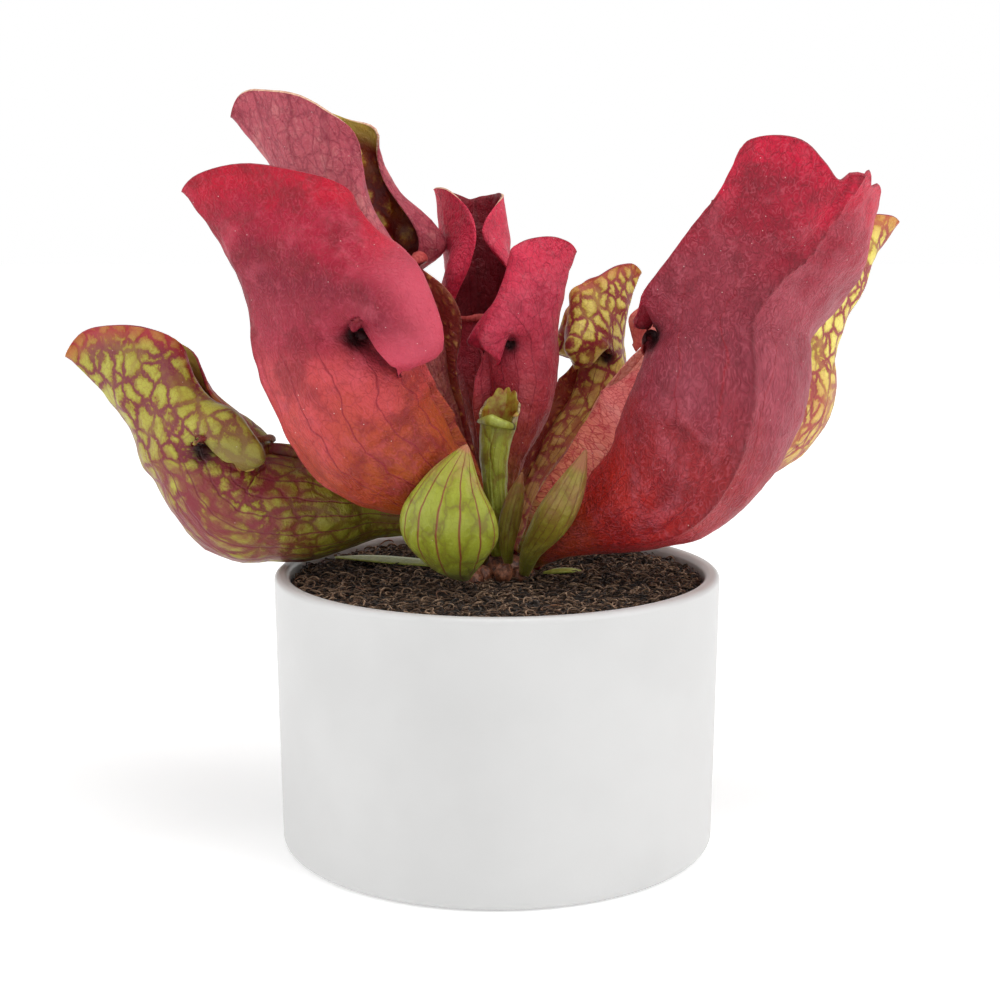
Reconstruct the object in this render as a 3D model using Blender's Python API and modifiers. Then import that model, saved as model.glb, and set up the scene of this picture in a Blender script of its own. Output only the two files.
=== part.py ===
"""Potted pitcher plant: pitchers, young leaves and a crown in soil, in a white cylindrical pot.

Metres, +Z up. The origin is the centre of the pot's underside, +X is the plant's right as seen from
its front, and +Y points to its back. Lengths below are millimetres and angles are degrees.
An azimuth is the way a leaf's back points: 0 is +X and 90 is +Y.
"""
import bmesh
import bpy
import numpy as np

MM = 0.001

# Pot
POT_HEIGHT = 74.6
RIM_RADIUS = 60.0
BASE_RADIUS = 58.9
POT_WALL = 4.0
POT_FLOOR = 5.0
RIM_ROUND = 1.6
FOOT_ROUND = 2.5
INNER_ROUND = 4.0
POT_STEPS = 40

# Soil and crown
GAP = 0.3                 # clearance between pieces that touch on the real plant
SOIL_LEVEL = 72.0
SOIL_DIP = 1.2            # the soil is this much lower along the wall
SOIL_LUMPS = 0.6          # height of its lumps
SOIL_RINGS = (8, 17, 26, 35, 44, 51)
CROWN_LOBES = (           # place and half sizes: the crown itself, then the old leaf bases on it
    ((1.5, 2.0, 71.5), (9.0, 8.0, 6.5)),
    ((1.9, -7.6, 74.9), (2.7, 2.7, 2.7)),
    ((-3.6, -5.8, 73.8), (2.8, 2.8, 2.8)),
    ((-6.6, -9.4, 73.6), (3.0, 2.8, 2.8)),
    ((5.8, -4.6, 73.4), (2.6, 2.6, 2.6)))
CROWN_ROOT = ((1.5, 2.0, 66.0), (6.0, 5.5, 9.0))
LOBE_STEPS = (14, 8)
SEAT_GAP = 1.1            # how far off the crown each stalk begins

# Leaves
WALL = 0.7                # thickness of a pitcher's wall
WING_HALF = 0.45          # half the thickness of its front wing
THIN = 0.3                # least half thickness of anything
HOOD_AT = (0, 0.17, 0.34, 0.50, 0.64, 0.76, 0.86, 0.94, 1)   # columns from mid back to mouth corner
HOOD_COLUMNS = len(HOOD_AT) - 1
LIP_COLUMNS = 3           # from that corner to the front, each side
TUBE_ROWS = 9
HOOD_ROWS = 5
LIP_ROWS = 2
SMOOTHING = 2             # passes that smooth the way in which a hood's wall is thickened
HOLLOW_FROM = 4           # the tube is hollow above this row, and solid stalk below
LIP_RADIUS = 1.3
LIP_ROLL = 150
LIP_LEAN = 1.5            # the ends of the lip stand this far in front of the hood's corners
LIP_THIN = 0.35           # the share of its radius that is left there
LIP_SWELL = 0.6           # how soon it thickens from there: the less, the sooner
BUD_COLUMNS = 12
BUD_ROWS = 9
RIDGE_WIDTH = 0.35        # of the ridges on a closed leaf, as the sine of the angle round it

# One side of a hood, as offsets from the edge of the mouth in hood sizes: back, up and sideways.
# Each row runs from the middle of the back to the corner of the mouth; the last row is the margin.
HOOD_LOW = (
    (-0.12, 0.68, 0.00), (-0.16, 0.68, 0.03), (-0.22, 0.68, 0.07), (-0.29, 0.67, 0.13), (-0.36, 0.62, 0.20),
    (-0.44, 0.52, 0.25), (-0.52, 0.36, 0.30), (-0.48, 0.18, 0.33), (-0.14, 0.10, 0.26))
HOOD_HIGH = (
    (-0.06, 1.38, 0.00), (-0.18, 1.33, 0.07), (-0.33, 1.27, 0.13), (-0.48, 1.22, 0.20), (-0.62, 1.11, 0.28),
    (-0.78, 0.93, 0.24), (-1.02, 0.48, 0.10), (-1.20, -0.20, -0.05), (-0.52, -0.50, 0.30))
HOOD_MARGIN = (
    (0.20, 2.19, 0.00), (-0.25, 2.28, 0.02), (-0.65, 2.22, 0.06), (-0.90, 2.02, 0.13), (-1.07, 1.79, 0.15),
    (-1.20, 1.52, 0.00), (-1.15, 0.65, -0.35), (-1.08, 0.02, -0.40), (-0.72, -0.62, 0.00))

# root: azimuth and elevation of the seat on the crown, or on the lobe of it that a third number names.
# spine: centre line from there to the mouth. girth: half depth and half width along it.
# azimuth: at the crown and at the mouth. corner: angle from the back to the corner of the mouth.
# hood: its size. bulge: how far it bows out. margin: its last row, with far for that of the farther
# side where the two differ; the nearer side is the one that near names, 1 or -1.
# wing: width of the front wing along the spine, turned by turn to one side.
PITCHERS = {
    "pitcher_left_front": dict(
        root=(215, 40), azimuth=(198, 188), corner=108, hood=20.0,
        spine=((-11.9, -8, 86.7), (-14, -11, 97.4), (-22.4, -15, 105.2), (-32.4, -16, 114.5),
               (-39, -16, 126.5), (-43.5, -15, 140.3)),
        girth=((2.2, 2.2), (6, 6), (8.8, 9.5), (14.6, 15), (18.3, 18.5), (19.2, 18.5), (19.4, 15)),
        wing=(0.3, 1.5, 2.5, 3, 2.5, 2, 0.3), margin=(
            (0.2, 2.2, 0), (-0.05, 2.3, 0.02), (-0.55, 2.2, 0.06), (-1, 1.9, 0.13), (-1.3, 1.55, 0.15),
            (-1.35, 1.05, 0.05), (-1.25, 0.5, -0.1), (-1.1, -0.3, -0.1), (-0.4, -0.6, 0)),
        colour=(0.55, 0.06, 0.12)),
    "pitcher_left_low": dict(
        root=(183, 24), azimuth=(180, 186), corner=88, hood=16.0,
        spine=((-12.8, 2, 80.5), (-21, 6, 86.5), (-31, 7.5, 89), (-48, 6.8, 89.8), (-60.5, 6.2, 91),
               (-70.5, 6.3, 93), (-76.5, 7.2, 99.5), (-79.5, 8.3, 105.5), (-81.2, 8.9, 108.8)),
        girth=((2.2, 2.2), (3, 3), (4.6, 4.4), (7.2, 6.6), (13.4, 11.5), (15.6, 13.8), (16.5, 15.2),
               (15.5, 15.5), (16, 15), (17, 14.5)),
        wing=(0.3, 1, 2, 3, 3, 3, 2, 1, 0.5, 0.3), margin=(
            (0.3, 2.25, 0), (-0.05, 2.4, 0.02), (-0.45, 2.3, 0.06), (-0.9, 1.95, 0.13), (-1.2, 1.45, 0.15),
            (-1.15, 0.65, 0.12), (-1.2, -0.05, 0.05), (-1.05, -0.6, 0.05), (-0.4, -0.7, 0.05)),
        colour=(0.33, 0.35, 0.06)),
    "pitcher_left_back": dict(
        root=(146, 42), azimuth=(150, 164), corner=105, hood=24.0, bulge=0.8,
        spine=((-4.7, 6, 79.9), (-6.9, 11, 91.6), (-12.5, 18, 107.3), (-20, 23, 122.1),
               (-26, 26, 136), (-33, 27, 149.5)),
        girth=((2.2, 2.2), (2.6, 2.6), (3.2, 3.2), (4.6, 4.6), (8, 8), (11.5, 11), (12.5, 11.5)),
        wing=(0.3, 0.6, 1, 2, 3.5, 8, 0.3), turn=20, margin=(
            (0.1, 2.5, 0), (-0.1, 2.6, 0.05), (-0.4, 2.5, 0.1), (-0.7, 2.25, 0.15), (-0.95, 1.8, 0.15),
            (-0.95, 1.4, 0.1), (-0.65, 0.9, 0), (-0.45, 0.45, -0.1), (-0.25, 0.25, 0)),
        far=(
            (0.1, 2.5, 0), (0.05, 2.6, 0.05), (-0.15, 2.55, 0.1), (-0.4, 2.3, 0.1), (-0.7, 1.9, 0.1),
            (-0.85, 1.6, 0.1), (-0.6, 1.1, 0.1), (-0.55, 0.35, 0.1), (-0.2, 0, 0.1)),
        colour=(0.48, 0.08, 0.10)),
    "pitcher_centre_back": dict(
        root=(106, 36), azimuth=(97, 90), corner=105, hood=12.7, bulge=0.5,
        spine=((-1, 12, 80.1), (-2.2, 20, 95.7), (-3.2, 31.5, 114.1), (-4.8, 38.5, 130.6), (-5.3, 41, 144.1)),
        girth=((2.2, 2.2), (2.4, 2.4), (4, 4), (7, 7.5), (9, 10), (9, 10.5)),
        wing=(0.3, 0.5, 1, 2, 2, 0.3), margin=(
            (0.2, 2.45, 0), (0.1, 2.4, 0.02), (-0.1, 2.5, 0.2), (-0.35, 2.55, 0.4), (-0.7, 2.45, 0),
            (-1, 1.95, -0.55), (-1.1, 1.35, -0.75), (-0.85, 0.7, -0.6), (-0.4, -0.05, -0.2)),
        far=(
            (0.2, 2.45, 0), (0.1, 2.45, 0.05), (-0.05, 2.45, 0.05), (-0.25, 2.4, 0.05), (-0.5, 2.3, 0),
            (-0.8, 1.9, -0.35), (-0.9, 1.5, -0.6), (-0.75, 1.15, -0.55), (-0.4, 0.8, -0.25)),
        colour=(0.50, 0.07, 0.15)),
    "pitcher_centre": dict(
        root=(80, 78), azimuth=(30, 15), corner=108, hood=11.0, near=-1,
        spine=((1.9, 4, 84), (2, 5, 92.6), (3, 7, 104.7), (5.7, 9, 115.4), (7.1, 11, 124.7), (7.1, 12, 134.2)),
        girth=((1.5, 1.5), (1.7, 1.7), (2.6, 2.6), (5, 5), (8, 7.5), (9.5, 9), (10, 8.5)),
        wing=(0.3, 0.3, 1, 4, 5.5, 4, 0.3), margin=(
            (0.4, 2.3, 0), (0.25, 2.45, 0.02), (-0.1, 2.55, 0.06), (-0.5, 2.5, 0.13), (-0.85, 2.3, 0.15),
            (-0.95, 1.9, 0.05), (-1.05, 1.15, -0.1), (-1.25, 0.45, -0.1), (-0.7, -0.2, 0)),
        far=(
            (0.4, 2.3, 0), (0.35, 2.4, 0.02), (0.1, 2.5, 0.06), (-0.25, 2.4, 0.1), (-0.5, 2.15, 0.1),
            (-0.6, 1.7, 0), (-0.75, 1, -0.1), (-0.9, 0.4, -0.1), (-0.6, -0.1, 0)),
        colour=(0.55, 0.07, 0.15)),
    "pitcher_yellow": dict(
        root=(64, 46), azimuth=(30, 20), corner=108, hood=11.0, near=-1,
        spine=((4.6, 10.6, 80.7), (9.4, 19.4, 92.8), (18, 28.6, 105.8), (26.7, 34.5, 116.5), (30.5, 37.5, 127.6)),
        girth=((1.6, 1.6), (2.5, 2.5), (3, 3), (5, 5), (6.8, 6.5), (7.2, 6.8)),
        wing=(0.3, 2, 6, 8, 6, 0.3), turn=-20, margin=(
            (-0.45, 2.5, 0), (-0.8, 2.55, 0.02), (-1.2, 2.25, 0.06), (-1.6, 1.8, 0.13), (-1.85, 1.45, 0.15),
            (-1.95, 1.05, 0.05), (-1.7, 0.45, -0.1), (-1.4, -0.2, -0.1), (-0.8, -0.65, 0)),
        far=(
            (-0.45, 2.5, 0), (-0.7, 2.45, 0.02), (-1, 2.1, 0.06), (-1.3, 1.65, 0.1), (-1.5, 1.3, 0.1),
            (-1.55, 0.9, 0), (-1.35, 0.4, -0.1), (-1.1, -0.1, -0.1), (-0.7, -0.5, 0)),
        colour=(0.60, 0.50, 0.08)),
    "pitcher_right_front": dict(
        root=(-30, 34), azimuth=(-20, -55), corner=108, hood=21.0, bulge=0.7, near=-1,
        spine=((16.8, -8, 84.8), (31.5, -13, 93), (43.6, -17, 101.8), (53, -20, 115.2),
               (58, -21.5, 129.3), (59.5, -19, 140.5)),
        girth=((2.2, 2.2), (6, 6), (12, 12), (18.5, 18), (21, 22), (21, 23), (20, 21)),
        wing=(0.3, 5, 12, 14, 12, 8, 0.3), turn=20, margin=(
            (0.85, 1.55, 0), (0.95, 1.6, 0.05), (0.95, 1.7, 0.1), (0.9, 1.9, 0.15), (0.65, 1.95, 0.2),
            (0.5, 1.85, 0.2), (0.65, 1.3, 0.1), (0.3, 0.65, 0.05), (-0.2, 0.05, 0)),
        far=(
            (0.85, 1.55, 0), (0.8, 1.65, 0.05), (0.75, 1.8, 0.1), (0.6, 1.7, 0.1), (0.3, 1.6, 0.1),
            (0.1, 1.5, 0.1), (0.1, 1.1, 0.1), (0, 0.6, 0.05), (-0.2, 0.05, 0)),
        colour=(0.50, 0.03, 0.09)),
    "pitcher_right_back": dict(
        root=(6, 24), azimuth=(20, 15), corner=108, hood=16.0,
        spine=((23.2, 16, 84.4), (43.2, 24, 92.2), (60.9, 31, 99.8), (74.2, 36, 107.8), (82.6, 40, 117.4),
               (84.7, 42, 129.1)),
        girth=((2.2, 2.2), (3, 3), (6, 6), (10, 9.5), (14, 13), (15, 13.5), (13, 11)),
        wing=(0.3, 1, 2, 2, 2, 1, 0.3), margin=(
            (0.8, 2.75, 0), (0.55, 2.75, 0.02), (0.2, 2.6, 0.06), (-0.25, 2.4, 0.13), (-0.8, 1.9, 0.15),
            (-1.1, 1.5, 0), (-1.15, 0.65, -0.35), (-1.1, 0, -0.4), (-0.7, -0.6, 0)),
        colour=(0.55, 0.38, 0.08)),
    "pitcher_salmon": dict(
        root=(31, 42), azimuth=(25, 20), corner=108, hood=12.0,
        spine=((12.8, 8, 87.4), (25.2, 11, 101.4), (36.2, 14.8, 113.8), (46, 17.5, 124.4), (52, 18, 133.8)),
        girth=((1.8, 1.8), (2.6, 2.6), (5, 5), (8, 8), (9.5, 9), (9, 8)),
        wing=(0.3, 1, 2, 3, 2, 0.3), colour=(0.75, 0.18, 0.13)),
    "cut_stub": dict(
        root=(245, 66), azimuth=(80, 70), corner=115, hood=4.2, bulge=0,
        spine=((-0.2, -1.6, 83), (-0.4, -2.2, 92), (-0.8, -2.7, 104), (0.4, -2.9, 114.5)),
        girth=((1.8, 1.8), (2.4, 2.4), (3.2, 3.2), (3.6, 3.6), (4.6, 5)),
        wing=(0.3, 0.3, 0.3, 0.3, 0.3), margin=(
            (0.1, 2.1, 0), (0, 1.8, 0), (0, 2, 0), (0, 1.5, 0), (0, 1.3, 0.1),
            (0, 1, 0.1), (0, 0.85, 0.1), (0, 0.7, 0.08), (0, 0.5, 0.05)),
        colour=(0.40, 0.45, 0.08)),
}

# Unopened young leaves and leaves on the soil: the same values, with a closed tip. ridge: how much
# their front and back stand out.
BUDS = {
    "young_pitcher_round": dict(
        root=(240, 25, 3), azimuth=(250, 262), ridge=0.05,
        spine=((-9.4, -18, 77.5), (-11.2, -25, 83), (-12.1, -30, 89.5), (-11.9, -32.5, 96),
               (-10.9, -32.5, 102.7), (-7.5, -31, 113)),
        girth=((1.6, 1.6), (2.4, 3.5), (5, 8.5), (5.9, 12.6), (5.6, 12), (4.1, 8), (0.3, 0.4)),
        colour=(0.32, 0.42, 0.07)),
    "young_pitcher_slender": dict(
        root=(300, 30, 4), azimuth=(310, 300), ridge=0.2,
        spine=((9.4, -16.5, 83.4), (15, -23, 93.3), (19, -27, 101.8), (22.6, -30, 111.5)),
        girth=((1.5, 1.6), (2.6, 3.2), (4.4, 5.4), (3.2, 4), (0.3, 0.3)),
        colour=(0.30, 0.30, 0.07)),
    "young_pitcher_bud": dict(
        root=(285, 45), azimuth=(280, 280), ridge=0.1,
        spine=((2.6, -7.4, 82), (3.2, -8.2, 88), (4.9, -8.4, 95.6), (6.7, -8, 102.3)),
        girth=((1.3, 1.3), (1.8, 2), (2, 2.9), (1.8, 2.4), (0.3, 0.3)),
        colour=(0.30, 0.30, 0.07)),
    "ground_leaf_left": dict(
        root=(158, 9), azimuth=(160, 160), ridge=0.2,
        spine=((-16, 9, 73.8), (-27, 14, 73.9), (-38, 18, 73.9), (-46, 20, 73.6)),
        girth=((0.6, 0.9), (0.6, 3), (0.6, 4.5), (0.5, 3.5), (0.3, 0.4)),
        colour=(0.30, 0.35, 0.07)),
    "ground_leaf_right": dict(
        azimuth=(20, 20), ridge=0.2,
        spine=((12.5, 0, 73.2), (16.5, 1, 73.7), (20, 2, 73.6), (23, 2.8, 73.2)),
        girth=((0.4, 0.6), (0.6, 2.4), (0.6, 2.2), (0.3, 0.4)),
        colour=(0.35, 0.42, 0.08)),
}


def clear_scene():
    for thing in list(bpy.data.objects):
        bpy.data.objects.remove(thing, do_unlink=True)


def new_collection(name):
    collection = bpy.data.collections.new(name)
    bpy.context.scene.collection.children.link(collection)
    return collection


def material(name, colour, roughness, metallic=0.0):
    made = bpy.data.materials.new(name)
    made.use_nodes = True
    shader = made.node_tree.nodes["Principled BSDF"]
    shader.inputs["Base Color"].default_value = (*colour, 1)
    shader.inputs["Roughness"].default_value = roughness
    shader.inputs["Metallic"].default_value = metallic
    made.diffuse_color = (*colour, 1)
    return made


def finish_object(name, mesh, collection, finish, sharp=40):
    mesh.materials.append(finish)
    mesh.shade_smooth()
    mesh.set_sharp_from_angle(angle=np.radians(sharp))
    made = bpy.data.objects.new(name, mesh)
    collection.objects.link(made)
    return made


def spline(keys, values, at):
    """A smooth curve through the values at the keys, read at other places."""
    keys, values, at = (np.asarray(each, float) for each in (keys, values, at))
    steps = np.diff(keys).reshape(-1, *[1] * (values.ndim - 1))
    slopes = np.diff(values, axis=0) / steps
    tangents = np.concatenate([
        slopes[:1],
        (slopes[:-1] * steps[1:] + slopes[1:] * steps[:-1]) / (steps[:-1] + steps[1:]),
        slopes[-1:]])
    left = np.clip(np.searchsorted(keys, at) - 1, 0, len(slopes) - 1)
    span = steps[left]
    x = (at - keys[left]).reshape(span.shape) / span
    return (values[left] * (2 * x**3 - 3 * x**2 + 1) + values[left + 1] * (3 * x**2 - 2 * x**3)
            + tangents[left] * span * (x**3 - 2 * x**2 + x) + tangents[left + 1] * span * (x**3 - x**2))


def unit(vectors):
    return vectors / np.linalg.norm(vectors, axis=-1, keepdims=True)


def crown_seat(azimuth, elevation, lobe=0):
    """A place just off the crown's surface, where a leaf begins."""
    azimuth, elevation = np.radians((azimuth, elevation))
    way = np.array((np.cos(elevation) * np.cos(azimuth), np.cos(elevation) * np.sin(azimuth),
                    np.sin(elevation)))
    centre, size = CROWN_LOBES[lobe]
    reach = 1 / np.linalg.norm(way / size)
    return np.array(centre) + way * (reach + SEAT_GAP)


class Stem:
    """Centre line of a leaf, with the back, up and side vectors of its sections."""

    def __init__(self, spec):
        seat = [crown_seat(*spec["root"])] if "root" in spec else []
        self.points = np.array((*seat, *spec["spine"]))
        lengths = np.linalg.norm(np.diff(self.points, axis=0), axis=1)
        self.keys = np.concatenate([[0], np.cumsum(lengths)]) / lengths.sum()
        self.azimuth = spec["azimuth"]
        self.girth = spec["girth"]

    def frames(self, at):
        small = 1e-3
        centre = spline(self.keys, self.points, at)
        up = unit(spline(self.keys, self.points, at + small) - spline(self.keys, self.points, at - small))
        turn = np.radians(self.azimuth[0] + (self.azimuth[1] - self.azimuth[0]) * at)
        side = np.stack([-np.sin(turn), np.cos(turn), 0 * turn], axis=1)
        side = unit(side - (side * up).sum(axis=1, keepdims=True) * up)
        return centre, np.cross(side, up), up, side

    def sections(self, at, angles, inward=0.0):
        """Points round the stem at each place along it: one row of angles for each."""
        centre, back, _, side = self.frames(at)
        depth, width = np.maximum(spline(self.keys, self.girth, at).T - inward, THIN)
        return (centre[:, None] + (depth[:, None] * np.cos(angles))[..., None] * back[:, None]
                + (width[:, None] * np.sin(angles))[..., None] * side[:, None])


class Skin:
    """Points and triangles of one closed body, gathered patch by patch."""

    def __init__(self):
        self.points, self.faces, self.count = [], [], 0

    def add(self, points):
        points = np.asarray(points, float)
        index = self.count + np.arange(points.size // 3).reshape(points.shape[:-1])
        self.points.append(points.reshape(-1, 3))
        self.count += points.size // 3
        return index

    def strip(self, low, high):
        for a, b, c, d in zip(low[:-1], low[1:], high[1:], high[:-1]):
            self.faces += [(a, b, c), (a, c, d)]

    def band(self, low, high):
        self.strip([*low, low[0]], [*high, high[0]])

    def fan(self, tip, ring):
        self.faces += [(tip, a, b) for a, b in zip(ring[:-1], ring[1:])]

    def cap(self, ring):
        points = np.concatenate(self.points)[ring]
        self.fan(self.add(points.mean(axis=0)[None])[0], [*ring, ring[0]])

    def mesh(self, name):
        made = bpy.data.meshes.new(name)
        made.from_pydata((np.concatenate(self.points) * MM).tolist(), [],
                         [tuple(int(i) for i in face) for face in self.faces])
        tidy = bmesh.new()
        tidy.from_mesh(made)
        bmesh.ops.recalc_face_normals(tidy, faces=tidy.faces)
        tidy.to_mesh(made)
        tidy.free()
        return made


def hood_net(spec):
    """Offsets of the hood from the mouth's edge: rows up the hood, columns round it."""
    part_way = np.array((1 / 3, 2 / 3, 1))[:, None, None]
    bulge = ((HOOD_LOW, HOOD_HIGH, HOOD_MARGIN) - part_way * HOOD_MARGIN) * spec.get("bulge", 1.0)
    near = spec.get("margin", HOOD_MARGIN)
    one, other = part_way * near + bulge, part_way * spec.get("far", near) + bulge
    if spec.get("near", 1) < 0:
        one, other = other, one
    rows = np.concatenate([other[:, :0:-1] * (1, 1, -1), one], axis=1) * spec["hood"]
    start = np.zeros_like(rows[:1])
    below = start + np.array((0, -0.5, 0)) * spec["hood"]
    return np.concatenate([below, start, rows])


def hood_rows(spec, edge, frame, corners):
    """The outer face of the hood above the mouth's edge."""
    back, up, side = frame
    net = hood_net(spec)
    wide = (net.shape[1] - 1) // 2
    net = spline(np.arange(-wide, wide + 1) / wide, net.swapaxes(0, 1), corners).swapaxes(0, 1)
    rows = spline(np.array((-1, 0, 1, 2, 3)) / 3, net, np.arange(1, HOOD_ROWS + 1) / HOOD_ROWS)
    return edge + rows[..., :1] * back + rows[..., 1:2] * up + rows[..., 2:] * side


def grid_normals(grid, outward, start):
    """Unit normals of a grid of points, on the side that outward names at the middle of the back."""
    across = np.gradient(grid, axis=1)
    along = np.gradient(grid, axis=0)
    normals = unit(np.cross(across, along))
    middle = grid.shape[1] // 2
    normals = normals * np.sign(normals[0, middle] @ outward)
    normals[0] = start
    for _ in range(SMOOTHING):
        padded = np.pad(normals, ((0, 1), (1, 1), (0, 0)), mode="edge")
        normals[1:] = unit(2 * padded[1:-1, 1:-1] + padded[:-2, 1:-1] + padded[2:, 1:-1]
                           + padded[1:-1, :-2] + padded[1:-1, 2:])
    return normals[1:]


def lip_rows(edge, outward, frame, weight, inward):
    """The rolled lip on the front of the mouth: rows of points from its edge outwards and down."""
    back, up, _ = frame
    weight = weight[:, None]
    radius = LIP_RADIUS * (LIP_THIN + (1 - LIP_THIN) * weight)
    middle = edge + outward * radius + up * weight * LIP_RADIUS
    reach = radius + inward
    rows = []
    for part_way in np.arange(1, LIP_ROWS + 1) / LIP_ROWS:
        angle = np.radians(LIP_ROLL) * part_way
        rows.append(middle - outward * reach * np.cos(angle) + up * reach * np.sin(angle)
                    - back * (1 - weight) * LIP_LEAN * part_way)
    return np.array(rows)


def pitcher(name, spec, collection):
    """A hollow pitcher: stalk and tube, front wing, rolled lip and hood, with an even wall."""
    stem = Stem(spec)
    half = HOOD_COLUMNS + LIP_COLUMNS
    rows = np.linspace(0, 1, TUBE_ROWS + 1)
    width = spline(stem.keys, stem.girth, rows)[:, 1]
    corner = np.radians(spec["corner"])
    step = np.arange(-half, half + 1)
    front = np.pi - np.arcsin(np.minimum(WING_HALF / width, 0.5))
    on_lip = (np.abs(step) - HOOD_COLUMNS) / LIP_COLUMNS
    on_hood = np.interp(np.abs(step), np.arange(HOOD_COLUMNS + 1), HOOD_AT) * np.sign(step)
    angles = np.where(
        on_lip <= 0, corner * on_hood,
        (corner + (front[:, None] - corner) * np.maximum(on_lip, 0)) * np.sign(step))
    outer = stem.sections(rows, angles)
    inner = stem.sections(rows, angles, WALL)[HOLLOW_FROM:]
    _, back, up, side = stem.frames(rows)

    turn = np.radians(spec.get("turn", 0))
    wing = np.maximum(spline(stem.keys, spec["wing"], rows), THIN)[:, None]
    root = (outer[:, 0] + outer[:, -1]) / 2
    tip = root + wing * (side * np.sin(turn) - back * np.cos(turn))
    thick = WING_HALF * (side * np.cos(turn) + back * np.sin(turn))
    tips = np.stack([tip + thick, tip - thick], axis=1)

    skin = Skin()
    around = skin.add(np.concatenate([outer, tips], axis=1))
    inside = skin.add(inner)
    skin.cap(around[0])
    skin.cap(inside[0])
    for low, high in zip(around[:-1], around[1:]):
        skin.band(low, high)
    for low, high in zip(inside[:-1], inside[1:]):
        skin.band(low, high)
    last = 2 * half
    mouth, mouth_in = around[-1], inside[-1]
    skin.strip((mouth[last], mouth[last + 1]), (mouth[0], mouth[last + 2]))

    hooded = slice(LIP_COLUMNS, LIP_COLUMNS + 2 * HOOD_COLUMNS + 1)
    frame = back[-1], up[-1], side[-1]
    outside = hood_rows(spec, outer[-1, hooded], frame, on_hood[hooded])
    start = unit(outer[-1, hooded] - inner[-1, hooded])
    normals = grid_normals(np.concatenate([outer[-1:, hooded], outside]), back[-1], start)
    hood = np.concatenate([mouth[None, hooded], skin.add(outside)])
    hood_in = np.concatenate([mouth_in[None, hooded], skin.add(outside - normals * WALL)])
    for low, high in zip(hood[:-1], hood[1:]):
        skin.strip(low, high)
    for low, high in zip(hood_in[:-1], hood_in[1:]):
        skin.strip(low, high)
    skin.strip(hood[-1], hood_in[-1])
    skin.strip(hood[:, 0], hood_in[:, 0])
    skin.strip(hood[:, -1], hood_in[:, -1])

    order = np.concatenate([np.arange(LIP_COLUMNS + 2 * HOOD_COLUMNS, last + 1), np.arange(LIP_COLUMNS + 1)])
    weight = np.clip((np.abs(step[order]) - HOOD_COLUMNS) / LIP_COLUMNS, 0, 1) ** LIP_SWELL
    edge = outer[-1][order]
    outward = unit(edge - stem.frames(np.ones(1))[0])
    lip = np.concatenate([mouth[None, order], skin.add(lip_rows(edge, outward, frame, weight, 0))])
    lip_in = np.concatenate([mouth_in[None, order], skin.add(lip_rows(edge, outward, frame, weight, WALL))])
    for sheet in (lip, lip_in):
        for low, high in zip(sheet[:-1], sheet[1:]):
            skin.strip(low, high)
    skin.strip(lip[-1], lip_in[-1])
    skin.strip(lip[:, 0], lip_in[:, 0])
    skin.strip(lip[:, -1], lip_in[:, -1])

    finish = material(name, spec["colour"], 0.5)
    return finish_object(name, skin.mesh(name), collection, finish)


def bud(name, spec, collection):
    """A young leaf that is still closed, with a ridge down its front and its back."""
    stem = Stem(spec)
    rows = np.linspace(0, 1, BUD_ROWS + 1)
    angles = np.arange(BUD_COLUMNS) * 2 * np.pi / BUD_COLUMNS
    rings = stem.sections(rows, np.tile(angles, (len(rows), 1)))
    middle = stem.frames(rows)[0][:, None]
    ridge = 1 + spec["ridge"] * np.exp(-(np.sin(angles) / RIDGE_WIDTH) ** 2)
    rings = middle + (rings - middle) * ridge[:, None]
    skin = Skin()
    index = skin.add(rings[:-1])
    skin.cap(index[0])
    for low, high in zip(index[:-1], index[1:]):
        skin.band(low, high)
    skin.fan(skin.add(stem.points[-1:])[0], [*index[-1], index[-1][0]])
    return finish_object(name, skin.mesh(name), collection, material(name, spec["colour"], 0.45))


def arc(centre, radius, start, end, count):
    for angle in np.radians(np.linspace(start, end, count)):
        yield centre[0] + radius * np.cos(angle), centre[1] + radius * np.sin(angle)


def turned(name, profile, collection, finish, steps):
    """A turned piece: its profile runs down the outside and back up the inside."""
    line = bmesh.new()
    corners = [line.verts.new((x * MM, 0, z * MM)) for x, z in profile]
    for a, b in zip(corners[:-1], corners[1:]):
        line.edges.new((a, b))
    mesh = bpy.data.meshes.new(name)
    line.to_mesh(mesh)
    line.free()
    made = bpy.data.objects.new(name, mesh)
    collection.objects.link(made)
    screw = made.modifiers.new("turn", "SCREW")
    screw.steps = screw.render_steps = steps
    screw.use_merge_vertices = True
    screw.merge_threshold = 0.00001
    screw.use_smooth_shade = True
    mesh.materials.append(finish)
    return made


def make_pot(collection):
    outer, inner = RIM_RADIUS, RIM_RADIUS - POT_WALL
    profile = [
        (inner + RIM_ROUND, POT_HEIGHT),
        *arc((outer - RIM_ROUND, POT_HEIGHT - RIM_ROUND), RIM_ROUND, 90, 0, 4),
        *arc((BASE_RADIUS - FOOT_ROUND, FOOT_ROUND), FOOT_ROUND, 0, -90, 5),
        (0, 0),
        (0, POT_FLOOR),
        *arc((inner - INNER_ROUND, POT_FLOOR + INNER_ROUND), INNER_ROUND, -90, 0, 4),
        *arc((inner + RIM_ROUND, POT_HEIGHT - RIM_ROUND), RIM_ROUND, 180, 90, 4)]
    return turned("pot", profile, collection, material("pot", (0.86, 0.86, 0.85), 0.35), POT_STEPS)


def soil_height(x, y, reach):
    lumps = np.sin(0.31 * x + 1) * np.cos(0.27 * y) + 0.6 * np.sin(0.53 * y - 0.4 * x)
    radius = np.hypot(x, y) / reach
    return SOIL_LEVEL - SOIL_DIP * radius**4 + SOIL_LUMPS * lumps * radius * (1 - radius**6)


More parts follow.
